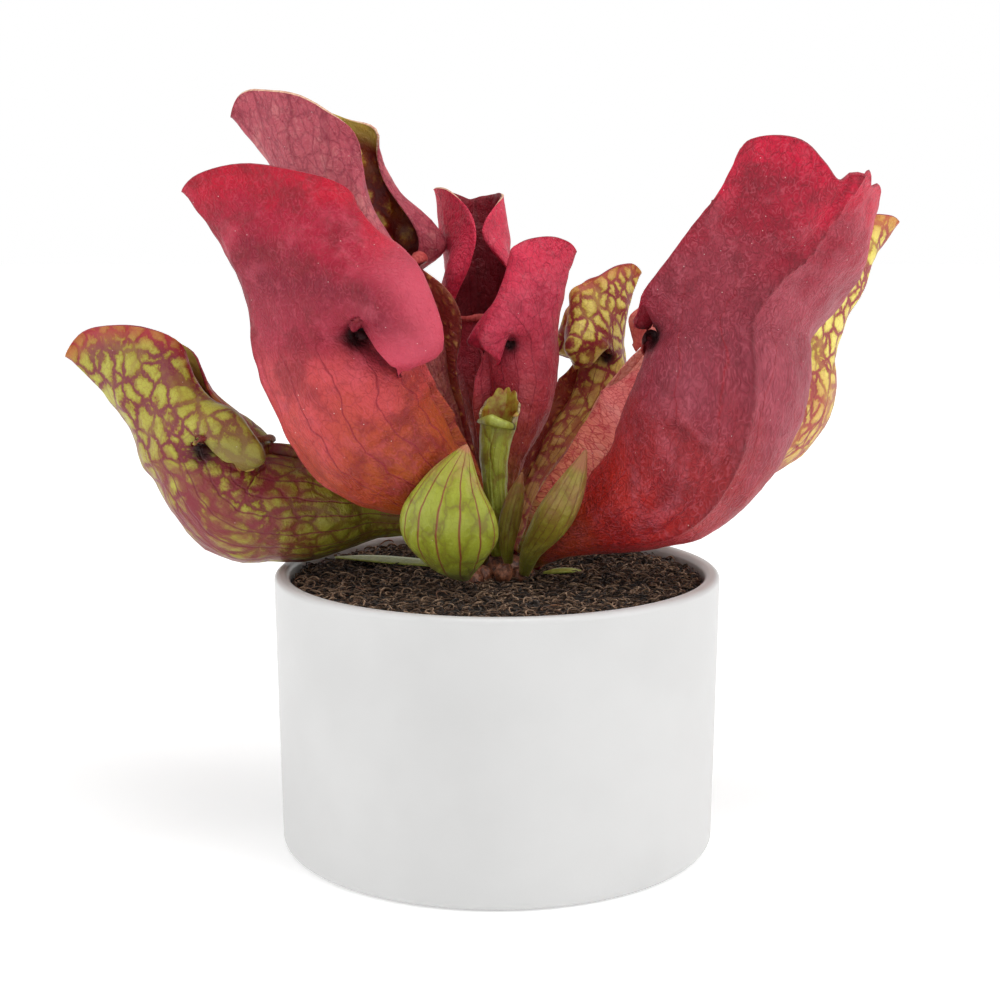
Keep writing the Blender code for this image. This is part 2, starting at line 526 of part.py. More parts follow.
def ellipsoid(name, centre, size, collection):
    bpy.ops.mesh.primitive_uv_sphere_add(segments=LOBE_STEPS[0], ring_count=LOBE_STEPS[1], radius=1)
    made = bpy.context.object
    made.name = made.data.name = name
    for point in made.data.vertices:
        point.co = (np.array(centre) + np.array(point.co) * size) * MM
    for old in list(made.users_collection):
        old.objects.unlink(made)
    collection.objects.link(made)
    return made


def combine(target, operands, operation):
    change = target.modifiers.new(operation.lower(), "BOOLEAN")
    change.operand_type = "COLLECTION"
    change.collection = operands
    change.operation = operation
    change.solver = "EXACT"
    return change


def make_crown(collection):
    """The crown and its old leaf bases, fused into one body."""
    name = "crown"
    crown = ellipsoid(name, *CROWN_LOBES[0], collection)
    others = new_collection("crown_lobes")
    for number, lobe in enumerate((CROWN_ROOT, *CROWN_LOBES[1:])):
        ellipsoid(f"lobe_{number}", *lobe, others)
    combine(crown, others, "UNION")
    fused = bpy.data.meshes.new_from_object(crown.evaluated_get(bpy.context.evaluated_depsgraph_get()))
    crown.modifiers.clear()
    crown.data = fused
    for thing in list(others.objects):
        bpy.data.objects.remove(thing, do_unlink=True)
    bpy.data.collections.remove(others)
    fused.shade_smooth()
    fused.materials.append(material(name, (0.25, 0.10, 0.05), 0.8))
    return crown


def make_soil(collection, cutters):
    """The soil down to the pot's floor, with a hole for the crown."""
    name = "soil"
    reach = RIM_RADIUS - POT_WALL - GAP
    corner = INNER_ROUND
    turn = np.arange(POT_STEPS) * 2 * np.pi / POT_STEPS
    round_ring = np.stack([np.cos(turn), np.sin(turn)])
    floor = POT_FLOOR + GAP
    skin = Skin()
    rings = []
    for radius in (*SOIL_RINGS, reach):
        x, y = radius * round_ring
        rings.append(skin.add(np.stack([x, y, soil_height(x, y, reach)], axis=1)))
    for radius, height in ((reach, floor + corner), (reach - corner, floor)):
        x, y = radius * round_ring
        rings.append(skin.add(np.stack([x, y, np.full(POT_STEPS, height)], axis=1)))
    skin.cap(rings[0])
    skin.cap(rings[-1])
    for low, high in zip(rings[:-1], rings[1:]):
        skin.band(low, high)
    soil = finish_object(name, skin.mesh(name), collection, material(name, (0.06, 0.035, 0.02), 0.95))
    for number, (centre, size) in enumerate((CROWN_ROOT, *CROWN_LOBES)):
        cutter = ellipsoid(f"soil_hole_{number}", centre, np.array(size) + GAP, cutters)
        cutter.hide_render = True
        cutter.display_type = "WIRE"
    combine(soil, cutters, "DIFFERENCE")
    return soil


def make_all():
    clear_scene()
    parts = new_collection("potted_pitcher_plant")
    cutters = new_collection("cutters")
    make_pot(parts)
    make_soil(parts, cutters)
    make_crown(parts)
    for name, spec in PITCHERS.items():
        pitcher(name, spec, parts)
    for name, spec in BUDS.items():
        bud(name, spec, parts)


make_all()
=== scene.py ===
import bmesh
import bpy
import numpy as np
from mathutils import Euler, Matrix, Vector


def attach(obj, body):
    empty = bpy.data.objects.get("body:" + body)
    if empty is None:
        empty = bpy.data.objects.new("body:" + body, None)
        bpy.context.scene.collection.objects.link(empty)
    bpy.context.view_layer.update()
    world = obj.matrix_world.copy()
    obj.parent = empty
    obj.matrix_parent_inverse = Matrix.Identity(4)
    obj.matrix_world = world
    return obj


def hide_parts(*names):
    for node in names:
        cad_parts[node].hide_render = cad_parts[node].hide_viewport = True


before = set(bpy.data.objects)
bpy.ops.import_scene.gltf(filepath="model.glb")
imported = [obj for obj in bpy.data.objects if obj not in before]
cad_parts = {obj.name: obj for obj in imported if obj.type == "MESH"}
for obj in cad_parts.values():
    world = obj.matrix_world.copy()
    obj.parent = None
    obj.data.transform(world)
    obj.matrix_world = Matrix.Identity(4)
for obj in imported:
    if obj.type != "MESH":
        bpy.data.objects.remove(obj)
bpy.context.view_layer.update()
mm = 0.001
print("packed nodes:", len(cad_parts))


# small helpers shared by every piece

def unit(vectors):
    return vectors / np.maximum(np.linalg.norm(vectors, axis=-1, keepdims=True), 1e-9)


def spline(keys, values, at):
    # smooth curve through values at keys
    keys, values, at = (np.asarray(each, float) for each in (keys, values, at))
    steps = np.diff(keys).reshape(-1, *[1] * (values.ndim - 1))
    slopes = np.diff(values, axis=0) / steps
    inner = (slopes[:-1] * steps[1:] + slopes[1:] * steps[:-1]) / (steps[:-1] + steps[1:])
    tangents = np.concatenate([slopes[:1], inner, slopes[-1:]])
    left = np.clip(np.searchsorted(keys, at) - 1, 0, len(slopes) - 1)
    span = steps[left]
    x = (at - keys[left]).reshape(span.shape) / span
    return (values[left] * (2 * x**3 - 3 * x**2 + 1) + values[left + 1] * (3 * x**2 - 2 * x**3)
            + tangents[left] * span * (x**3 - 2 * x**2 + x) + tangents[left + 1] * span * (x**3 - x**2))


def addPiece(name, mesh, materials, nodes=()):
    for finish in materials:
        mesh.materials.append(finish)
    mesh.shade_smooth()
    piece = bpy.data.objects.new(name, mesh)
    bpy.context.scene.collection.objects.link(piece)
    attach(piece, "root")
    if nodes:
        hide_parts(*nodes)
    return piece


def meshFrom(name, points, faces, finishes=None):
    mesh = bpy.data.meshes.new(name)
    mesh.from_pydata((np.asarray(points) * mm).tolist(), [], [tuple(int(i) for i in f) for f in faces])
    if finishes is not None:
        mesh.polygons.foreach_set("material_index", np.asarray(finishes, np.int32))
    mesh.update()
    return mesh


def tagPoints(mesh, name, values):
    tag = mesh.attributes.new(name, "FLOAT_VECTOR", "POINT")
    tag.data.foreach_set("vector", np.asarray(values, np.float32).ravel())


def gridFaces(index):
    a, b, c, d = index[:-1, :-1], index[:-1, 1:], index[1:, 1:], index[1:, :-1]
    return np.stack([a, b, c, d], axis=-1).reshape(-1, 4)


def closedRings(points):
    # numbers the points of a stack of rings, and closes each ring on its first point
    index = np.arange(points.shape[0] * points.shape[1]).reshape(points.shape[:2])
    return index, np.concatenate([index, index[:, :1]], axis=1)


def facesOutward(mesh):
    made = bmesh.new()
    made.from_mesh(mesh)
    bmesh.ops.recalc_face_normals(made, faces=made.faces)
    made.to_mesh(mesh)
    made.free()


def eased(share):
    share = np.clip(share, 0, 1)
    return share * share * (3 - 2 * share)


def evened(line, rounds):
    # smooths a line of vectors, and keeps its ends
    for _ in range(rounds):
        line[1:-1] = (line[:-2] + 2 * line[1:-1] + line[2:]) / 4
    return line


def waves(points, seed, size, count=7):
    # soft lumps: a sum of sines in random directions, about size mm across
    rng = np.random.default_rng(seed)
    ways = rng.normal(size=(count, points.shape[-1]))
    ways = unit(ways) * (2 * np.pi / size) * rng.uniform(0.7, 1.5, (count, 1))
    return np.sin(points @ ways.T + rng.uniform(0, 6.28, count)).sum(axis=-1) / count**0.5


# paint: one builder for procedural materials

def fillRamp(node, stops):
    band = node.color_ramp.elements
    band.remove(band[1])
    for count, (place, colour) in enumerate(stops):
        stop = band[0] if count == 0 else band.new(place)
        stop.position = place
        stop.color = (*colour, 1)


class Paint:
    def __init__(self, name, **sockets):
        self.material = bpy.data.materials.new(name)
        self.material.use_nodes = True
        self.tree = self.material.node_tree
        self.shader = self.tree.nodes["Principled BSDF"]
        for socket, value in sockets.items():
            self.shader.inputs[socket.replace("_", " ")].default_value = value

    def add(self, kind, *inputs, **settings):
        node = self.tree.nodes.new(kind)
        for key, value in settings.items():
            setattr(node, key, value)
        for place, value in enumerate(inputs):
            self.plug(node.inputs[place], value)
        return node

    def plug(self, socket, value):
        if isinstance(value, bpy.types.NodeSocket):
            self.tree.links.new(value, socket)
        else:
            socket.default_value = value

    def tag(self, name):
        return self.add("ShaderNodeAttribute", attribute_name=name).outputs["Vector"]

    def parts(self, vector):
        return self.add("ShaderNodeSeparateXYZ", vector).outputs

    def scaled(self, vector, by):
        return self.add("ShaderNodeVectorMath", vector, by, operation="MULTIPLY").outputs[0]

    def shifted(self, vector, by):
        return self.add("ShaderNodeVectorMath", vector, by, operation="ADD").outputs[0]

    def maths(self, operation, *values, clamp=False):
        return self.add("ShaderNodeMath", *values, operation=operation, use_clamp=clamp).outputs[0]

    def texture(self, kind, output, sockets, **settings):
        node = self.add(kind, **settings)
        for socket, value in sockets.items():
            self.plug(node.inputs[socket], value)
        return node.outputs[output]

    def noise(self, vector, scale, detail=3.0, rough=0.55, colour=False):
        sockets = dict(Vector=vector, Scale=scale, Detail=detail, Roughness=rough)
        return self.texture("ShaderNodeTexNoise", "Color" if colour else "Fac", sockets)

    def cells(self, vector, scale, feature="DISTANCE_TO_EDGE"):
        sockets = dict(Vector=vector, Scale=scale)
        return self.texture("ShaderNodeTexVoronoi", "Distance", sockets, feature=feature)

    def step(self, value, low, high, to=(0.0, 1.0)):
        node = self.add("ShaderNodeMapRange", value, low, high, *to, interpolation_type="SMOOTHSTEP")
        return node.outputs[0]

    def ramp(self, value, stops):
        node = self.add("ShaderNodeValToRGB", value)
        node.color_ramp.interpolation = "EASE"
        fillRamp(node, stops)
        return node.outputs[0]

    def mix(self, share, first, second):
        node = self.add("ShaderNodeMix", data_type="RGBA")
        for place, value in ((0, share), (6, first), (7, second)):
            if isinstance(value, tuple) and len(value) == 3:
                value = (*value, 1)
            self.plug(node.inputs[place], value)
        return node.outputs[2]

    def wash(self, share, strength):
        # how strongly a colour is laid over another, from 0 to 1
        return self.maths("MULTIPLY", share, strength, clamp=True)

    def finish(self, colour, height=None, depth=0.0):
        self.plug(self.shader.inputs["Base Color"], colour)
        if height is not None:
            bump = self.add("ShaderNodeBump")
            bump.inputs["Strength"].default_value = 1.0
            bump.inputs["Distance"].default_value = depth * mm
            self.plug(bump.inputs["Height"], height)
            self.plug(self.shader.inputs["Normal"], bump.outputs["Normal"])
        return self.material


# colours of the leaves, from the foot of the leaf to its edge: cells are in mm, and widths and
# strengths are shares

looks = {
    "crimson": dict(
        along=((0.0, (0.12, 0.10, 0.01)), (0.12, (0.17, 0.05, 0.004)), (0.26, (0.36, 0.07, 0.008)),
               (0.40, (0.38, 0.050, 0.016)), (0.54, (0.52, 0.058, 0.060)), (0.66, (0.34, 0.022, 0.046)),
               (0.80, (0.20, 0.006, 0.022)), (0.92, (0.34, 0.004, 0.027)), (1.0, (0.46, 0.002, 0.022))),
        lines=dict(count=6, width=0.045, colour=(0.24, 0.010, 0.022), strength=0.8, until=0.56),
        net=dict(cell=3.2, stretch=1.3, colour=(0.27, 0.02, 0.03), strength=0.42, width=0.06),
        dark=(0.16, 0.006, 0.012), pale=(0.64, 0.10, 0.15), spots=0.6, lift=0.28, wrinkle=0.75,
        # nose: a painted highlight on the fronts of the hood lobes
        nose=(0.60, 0.075, 0.12)),
    "wine": dict(
        along=((0.0, (0.22, 0.14, 0.01)), (0.08, (0.42, 0.05, 0.008)), (0.24, (0.45, 0.018, 0.012)),
               (0.42, (0.29, 0.012, 0.016)), (0.58, (0.24, 0.026, 0.045)), (0.74, (0.27, 0.026, 0.045)),
               (0.88, (0.30, 0.006, 0.024)), (1.0, (0.54, 0.003, 0.034))),
        lines=dict(count=6, width=0.035, colour=(0.26, 0.006, 0.015), strength=0.75, until=0.62),
        net=dict(cell=3.0, stretch=1.4, colour=(0.15, 0.010, 0.018), strength=0.40, width=0.06),
        dark=(0.11, 0.006, 0.012), pale=(0.54, 0.12, 0.16), spots=0.45, lift=0.28, wrinkle=1.2),
    "rose": dict(
        along=((0.0, (0.20, 0.20, 0.02)), (0.15, (0.28, 0.10, 0.02)), (0.35, (0.36, 0.05, 0.03)),
               (0.6, (0.44, 0.035, 0.055)), (0.85, (0.58, 0.045, 0.090)), (1.0, (0.64, 0.025, 0.070))),
        lines=dict(count=7, width=0.05, colour=(0.26, 0.01, 0.03), strength=0.6, until=0.8),
        net=dict(cell=2.4, stretch=1.5, colour=(0.24, 0.015, 0.035), strength=0.45, width=0.07),
        dark=(0.20, 0.008, 0.022), pale=(0.66, 0.17, 0.21), spots=0.45, lift=0.25, wrinkle=0.7),
    "veined": dict(
        along=((0.0, (0.25, 0.20, 0.03)), (0.25, (0.34, 0.10, 0.06)), (0.6, (0.46, 0.10, 0.11)),
               (1.0, (0.44, 0.07, 0.10))),
        lines=dict(count=13, width=0.13, colour=(0.20, 0.012, 0.03), strength=0.42, until=1.4),
        net=dict(cell=2.6, stretch=2.0, colour=(0.21, 0.014, 0.035), strength=0.55, width=0.13),
        dark=(0.26, 0.03, 0.05), pale=(0.66, 0.27, 0.25), spots=0.35, lift=0.4, wrinkle=0.8),
    "salmon": dict(
        along=((0.0, (0.30, 0.25, 0.04)), (0.3, (0.62, 0.22, 0.14)), (0.7, (0.78, 0.30, 0.24)),
               (1.0, (0.66, 0.14, 0.12))),
        lines=dict(count=7, width=0.05, colour=(0.48, 0.05, 0.06), strength=0.5, until=1.2),
        net=dict(cell=2.6, stretch=1.4, colour=(0.46, 0.05, 0.06), strength=0.55, width=0.08),
        dark=(0.55, 0.12, 0.08), pale=(0.85, 0.50, 0.42), spots=0.3, lift=0.3, wrinkle=0.5),
    "wingPink": dict(
        along=((0.0, (0.50, 0.34, 0.07)), (0.12, (0.66, 0.20, 0.12)), (0.4, (0.68, 0.17, 0.15)),
               (1.0, (0.60, 0.12, 0.14))),
        lines=dict(count=2, width=0.03, colour=(0.42, 0.02, 0.04), strength=0.5, until=1.2),
        net=dict(cell=1.9, stretch=1.35, colour=(0.40, 0.02, 0.035), strength=0.8, width=0.10),
        dark=(0.42, 0.05, 0.06), pale=(0.85, 0.42, 0.36), spots=0.3, lift=0.35, wrinkle=0.3),
}

netted = {
    "greenNet": dict(
        cell=4.9, stretch=1.25, feather=0.22, width=0.034, vein=(0.17, 0.012, 0.026),
        edge=(0.21, 0.055, 0.012), field=(0.31, 0.24, 0.018), heart=(0.40, 0.37, 0.042),
        lines=dict(count=9, width=0.09, strength=0.85),
        tip=(0.42, 0.008, 0.02), tipFrom=0.965, foot=(0.15, 0.15, 0.006), footTo=0.62,
        blush=dict(colour=(0.21, 0.018, 0.030), middle=0.56, spread=0.15, strength=0.9),
        nose=(0.21, 0.17, 0.030)),
    "goldNet": dict(
        cell=4.0, stretch=1.3, vein=(0.27, 0.022, 0.035), edge=(0.36, 0.11, 0.035), field=(0.62, 0.50, 0.07),
        heart=(0.78, 0.66, 0.15), width=0.045, lines=dict(count=8, width=0.09, strength=0.8),
        tip=(0.52, 0.10, 0.03), tipFrom=0.965, foot=(0.52, 0.12, 0.07), footTo=0.72,
        blush=dict(colour=(0.46, 0.09, 0.06), middle=0.62, spread=0.1, strength=0.5)),
    "slimNet": dict(
        cell=4.5, stretch=2.8, feather=0.02, width=0.012, vein=(0.19, 0.12, 0.015), edge=(0.20, 0.15, 0.015),
        field=(0.22, 0.18, 0.015), heart=(0.27, 0.23, 0.03),
        lines=dict(count=8, width=0.08, strength=0.8, wobble=0.3, until=1.5, colour=(0.20, 0.06, 0.02)),
        tip=(0.34, 0.12, 0.06), tipFrom=0.86, foot=(0.26, 0.29, 0.03), footTo=0.35,
        blush=dict(colour=(0.36, 0.15, 0.08), middle=0.75, spread=0.15, strength=0.45)),
    "freshNet": dict(
        cell=6.5, stretch=1.6, feather=0.012, width=0.010, vein=(0.20, 0.17, 0.02), edge=(0.22, 0.23, 0.018),
        field=(0.25, 0.27, 0.018), heart=(0.30, 0.33, 0.03),
        lines=dict(count=7, width=0.09, strength=1.0, wobble=0.5, until=1.5, colour=(0.22, 0.04, 0.022)),
        tip=(0.48, 0.15, 0.09), tipFrom=0.93, foot=(0.25, 0.33, 0.02), footTo=0.2,
        blush=dict(colour=(0.42, 0.22, 0.09), middle=0.88, spread=0.10, strength=0.45)),
    "stubNet": dict(
        cell=3.5, stretch=3.0, feather=0.1, width=0.03, vein=(0.28, 0.24, 0.03), edge=(0.32, 0.33, 0.04),
        field=(0.36, 0.42, 0.04), heart=(0.42, 0.48, 0.06), lines=dict(count=8, width=0.08, strength=0.5),
        tip=(0.42, 0.33, 0.20), tipFrom=0.84, foot=(0.24, 0.30, 0.02), footTo=0.3,
        blush=dict(colour=(0.30, 0.30, 0.05), middle=0.8, spread=0.1, strength=0.3)),
    "patched": dict(
        cell=5.0, stretch=1.4, width=0.09, vein=(0.12, 0.003, 0.003), edge=(0.22, 0.012, 0.004),
        field=(0.34, 0.10, 0.012), heart=(0.62, 0.38, 0.05), lines=dict(count=10, width=0.14, strength=0.9),
        tip=(0.60, 0.46, 0.10), tipFrom=0.955, foot=(0.10, 0.003, 0.003), footTo=0.80,
        blush=dict(colour=(0.16, 0.004, 0.003), middle=0.70, spread=0.12, strength=0.85)),
    "wingNet": dict(
        cell=2.0, stretch=1.5, vein=(0.20, 0.010, 0.012), edge=(0.30, 0.05, 0.02), field=(0.46, 0.20, 0.05),
        heart=(0.56, 0.34, 0.09), width=0.12, lines=dict(count=2, width=0.02, strength=0.4),
        tip=(0.50, 0.10, 0.05), tipFrom=0.97, foot=(0.26, 0.20, 0.03), footTo=0.2,
        blush=dict(colour=(0.32, 0.05, 0.03), middle=0.55, spread=0.2, strength=0.4)),
}


# the surface that the leaves share: scales are per mm, bumps in mm, and the rest are shares or
# the limits between which a noise turns into a patch
down = dict(
    drift=0.24, blotchScale=0.10, blotch=(0.47, 0.66), glowScale=0.12, glow=(0.50, 0.72),
    foldScale=0.6, foldTurns=5.0, crest=0.24, crestFrom=(0.30, 0.5), trough=0.30, troughTo=(0.0, 0.16),
    # strip and the share after it break up the painted light on one side of the keel
    broken=(0.35, 0.6), lineEnd=0.18, keelLine=0.6, strip=(0.3, 0.7), litStripShare=(0.3, 1.4),
    creaseScale=0.42, crease=1.7, fold=0.6, line=0.25, bump=0.5, specks=0.55,
    # pit and shade are colours of painted shade: pit in the pits at the mouth's corners, shade over the
    # insides of the hoods
    sheen=(1.0, 0.62, 0.66, 1), bleed=(1.0, 0.25, 0.15), pit=(0.02, 0.001, 0.002), shade=(0.10, 0.001, 0.002))
net = dict(
    feather=0.26, fine=0.4, fineWidth=0.07, soft=0.4, softPatch=(0.45, 0.7), foot=0.6, rim=0.8, rimFade=0.05,
    blush=(0.3, 0.62), lineUntil=0.62, lineEnd=0.18, specks=0.4, cell=0.7, lump=0.5, line=-0.3, bump=0.4,
    # pit is the colour of the painted shade in the pits at the mouth's corners
    bleed=(0.8, 0.7, 0.15), pit=(0.02, 0.003, 0.002))
speck = dict(perMm=0.33, size=(0.03, 0.055), colour=(0.85, 0.70, 0.66))
nose = dict(side=(0.36, 0.48), height=(0.76, 0.86), strength=0.75)  # where a lobe's nose lies on its leaf


def leafLines(paint, place, line):
    # long veins that run up the leaf and fan out in its hood
    wobble = paint.maths("MULTIPLY", paint.noise(paint.tag("grain"), 0.09, 2.0), line.get("wobble", 0.9))
    along = paint.maths("ADD", paint.maths("MULTIPLY", place[0], float(line["count"])), wobble)
    apart = paint.maths("PINGPONG", along, 0.5)
    return paint.step(apart, 0.0, line["width"], (1.0, 0.0))


def leafNet(paint, cell, stretch):
    # the net between them, with wandering edges
    grain = paint.tag("grain")
    push = paint.shifted(paint.noise(grain, 0.4, 2.0, colour=True), (-0.5, -0.5, -0.5))
    moved = paint.shifted(paint.scaled(grain, (1 / cell, 1 / cell, 1 / (cell * stretch))),
                          paint.scaled(push, (0.5, 0.5, 0.4)))
    return paint.cells(moved, 1.0)


def wrinkles(paint, grain):
    # fine wavy folds, less than 1 mm apart: level lines of a noise
    level = paint.noise(paint.scaled(grain, (1.0, 1.0, 0.7)), down["foldScale"], 1.5, 0.45)
    return paint.maths("PINGPONG", paint.maths("MULTIPLY", level, down["foldTurns"]), 0.5)


def speckled(paint, grain, colour, strength):
    # small pale specks, about 3 mm apart
    specks = paint.step(paint.cells(grain, speck["perMm"], "F1"), *speck["size"], (1.0, 0.0))
    return paint.mix(paint.wash(specks, strength), colour, speck["colour"])


def nosePaint(paint, place, look, colour):
    # the folded front of each hood lobe in a tone of its own, which on the crimson leaves is a painted
    # highlight
    if "nose" not in look:
        return colour
    aside = paint.step(paint.maths("ABSOLUTE", place[0]), *nose["side"])
    share = paint.maths("MULTIPLY", aside, paint.step(place[1], *nose["height"]))
    return paint.mix(paint.wash(share, nose["strength"]), colour, look["nose"])


def downyPaint(name, look, shade=1.0):
    # red leaves: a ramp along the leaf, blotches, thin veins, embossed wrinkles and pale down, with painted
    # light and shade on the wrinkles, a painted highlight on the noses, painted light on one side of the keel
    # and painted shade in the pits
    paint = Paint(name, Roughness=0.5, Sheen_Weight=0.03, Sheen_Roughness=0.3, Coat_Weight=0.03,
                  Coat_Roughness=0.4, Specular_IOR_Level=0.25, Subsurface_Weight=0.08, Subsurface_Scale=0.003,
                  Sheen_Tint=down["sheen"], Subsurface_Radius=down["bleed"])
    place = paint.parts(paint.tag("place"))
    grain = paint.tag("grain")
    drift = paint.maths("MULTIPLY_ADD", paint.noise(grain, 0.06, 2.0), down["drift"], -down["drift"] / 2)
    colour = paint.ramp(paint.maths("ADD", place[1], drift), look["along"])
    blotches = paint.step(paint.noise(grain, down["blotchScale"], 4.0, 0.62), *down["blotch"])
    colour = paint.mix(paint.wash(blotches, look["spots"]), colour, look["dark"])
    elsewhere = paint.shifted(grain, (37.0, 11.0, 3.0))  # so the two kinds of patches differ
    glow = paint.step(paint.noise(elsewhere, down["glowScale"], 4.0, 0.6), *down["glow"])
    colour = paint.mix(paint.wash(glow, look["lift"]), colour, look["pale"])
    line = look["lines"]
    until = line["until"]
    lines = leafLines(paint, place, line)
    fade = paint.step(place[1], until, until + down["lineEnd"], (1.0, 0.1))
    lines = paint.maths("MULTIPLY", lines, fade)
    colour = paint.mix(paint.wash(lines, line["strength"]), colour, line["colour"])
    edges = leafNet(paint, look["net"]["cell"], look["net"]["stretch"])
    thin = paint.step(edges, 0.0, look["net"]["width"], (1.0, 0.0))
    colour = paint.mix(paint.wash(thin, look["net"]["strength"]), colour, look["net"]["colour"])
    # painted light on the wrinkles: paler crests, part pale down and part painted highlight, and darker
    # troughs, painted shade
    folds = wrinkles(paint, grain)
    crest = paint.step(folds, *down["crestFrom"])
    trough = paint.step(folds, *down["troughTo"], (1.0, 0.0))
    broken = paint.step(paint.noise(grain, 0.3, 2.0), *down["broken"])
    crest = paint.maths("MULTIPLY", crest, broken)
    colour = paint.mix(paint.wash(crest, down["crest"] * look["wrinkle"]), colour, look["pale"])
    colour = paint.mix(paint.wash(trough, down["trough"] * look["wrinkle"]), colour, look["dark"])
    colour = nosePaint(paint, place, look, colour)
    keel = paint.parts(paint.tag("keel"))
    # painted light: the leaf is paler on its lit side of the keel, broken up by noise
    uneven = paint.step(paint.noise(grain, 0.2, 3.0), *down["strip"], down["litStripShare"])
    colour = paint.mix(paint.maths("MULTIPLY", keel[1], uneven), colour, look["pale"])
    colour = paint.mix(paint.wash(keel[0], down["keelLine"]), colour, look["dark"])
    colour = speckled(paint, grain, colour, down["specks"])
    # painted shade in the pits at the mouth's corners
    colour = paint.mix(place[2], colour, down["pit"])
    # painted shade laid over the whole paint, for the insides of the hoods
    if shade < 1:
        colour = paint.mix(1 - shade, colour, down["shade"])
    creases = paint.noise(grain, down["creaseScale"], 3.0, 0.55)
    height = paint.maths("ADD", paint.maths("MULTIPLY", creases, down["crease"]),
                         paint.maths("MULTIPLY", folds, down["fold"] * look["wrinkle"]))
    height = paint.maths("ADD", height, paint.maths("MULTIPLY", lines, down["line"]))
    return paint.finish(colour, height, down["bump"])


def nettedPaint(name, look, gloss=0.4):
    # green leaves: bright cells with feathered edges between maroon veins
    paint = Paint(name, Roughness=gloss, Sheen_Weight=0.03, Coat_Weight=0.08, Coat_Roughness=0.3,
                  Specular_IOR_Level=0.3, Subsurface_Weight=0.12, Subsurface_Scale=0.003,
                  Subsurface_Radius=net["bleed"])
    place = paint.parts(paint.tag("place"))
    grain = paint.tag("grain")
    edges = leafNet(paint, look["cell"], look["stretch"])
    feather = look.get("feather", net["feather"])
    feathers = paint.maths("MULTIPLY_ADD", paint.noise(grain, 1.5, 3.0, 0.7), feather, -feather / 2)
    edges = paint.maths("ADD", edges, feathers)
    w = look["width"]
    colour = paint.ramp(edges, ((0.0, look["vein"]), (w, look["vein"]), (w * 1.7 + 0.02, look["edge"]),
                                (w * 2.2 + 0.04, look["field"]), (w * 2.2 + 0.15, look["heart"])))
    fine = paint.cells(paint.scaled(grain, (0.8, 0.8, 0.6)), 1.0)
    fine = paint.step(fine, 0.0, net["fineWidth"], (1.0, 0.0))
    colour = paint.mix(paint.wash(fine, net["fine"]), colour, look["edge"])
    soft = paint.step(paint.noise(grain, 0.12, 3.0), *net["softPatch"])
    colour = paint.mix(paint.wash(soft, net["soft"]), colour, look["field"])
    foot = paint.step(place[1], look["footTo"] * 0.45, look["footTo"], (1.0, 0.0))
    colour = paint.mix(paint.wash(foot, net["foot"]), colour, look["foot"])
    blush = look["blush"]
    away = paint.maths("ABSOLUTE", paint.maths("ADD", place[1], -blush["middle"]))
    reddened = paint.step(away, blush["spread"] * 0.4, blush["spread"] * 1.6, (1.0, 0.0))
    patches = paint.step(paint.noise(grain, 0.25, 3.0), *net["blush"])
    reddened = paint.maths("MULTIPLY", reddened, patches)
    colour = paint.mix(paint.wash(reddened, blush["strength"]), colour, blush["colour"])
    line = look["lines"]
    until = line.get("until", net["lineUntil"])
    lines = leafLines(paint, place, line)
    fade = paint.step(place[1], until, until + net["lineEnd"], (1.0, 0.35))
    lines = paint.maths("MULTIPLY", lines, fade)
    colour = paint.mix(paint.wash(lines, line["strength"]), colour, line.get("colour", look["vein"]))
    colour = nosePaint(paint, place, look, colour)
    rim = paint.step(place[1], look["tipFrom"], look["tipFrom"] + net["rimFade"])
    colour = paint.mix(paint.wash(rim, net["rim"]), colour, look["tip"])
    colour = speckled(paint, grain, colour, net["specks"])
    # painted shade in the pits at the mouth's corners
    colour = paint.mix(place[2], colour, net["pit"])
    bumps = paint.noise(grain, 1.3, 3.0, 0.6)
    height = paint.maths("ADD", paint.maths("MULTIPLY", paint.step(edges, 0.0, 0.3), net["cell"]),
                         paint.maths("MULTIPLY", bumps, net["lump"]))
    height = paint.maths("ADD", height, paint.maths("MULTIPLY", lines, net["line"]))
    return paint.finish(colour, height, net["bump"])


def plainPaint(name, low, high, scale=1.0, gloss=0.5, depth=0.25, **sockets):
    # two tones broken up by noise, for rims, lips, stalks and dry bits
    paint = Paint(name, Roughness=gloss, **sockets)
    grain = paint.tag("grain")
    lumps = paint.noise(grain, scale, 4.0, 0.6)
    colour = paint.mix(paint.step(lumps, 0.3, 0.7), low, high)
    # painted shade in the pits at the mouth's corners
    colour = paint.mix(paint.parts(paint.tag("place"))[2], colour, down["pit"])
    return paint.finish(colour, lumps, depth)


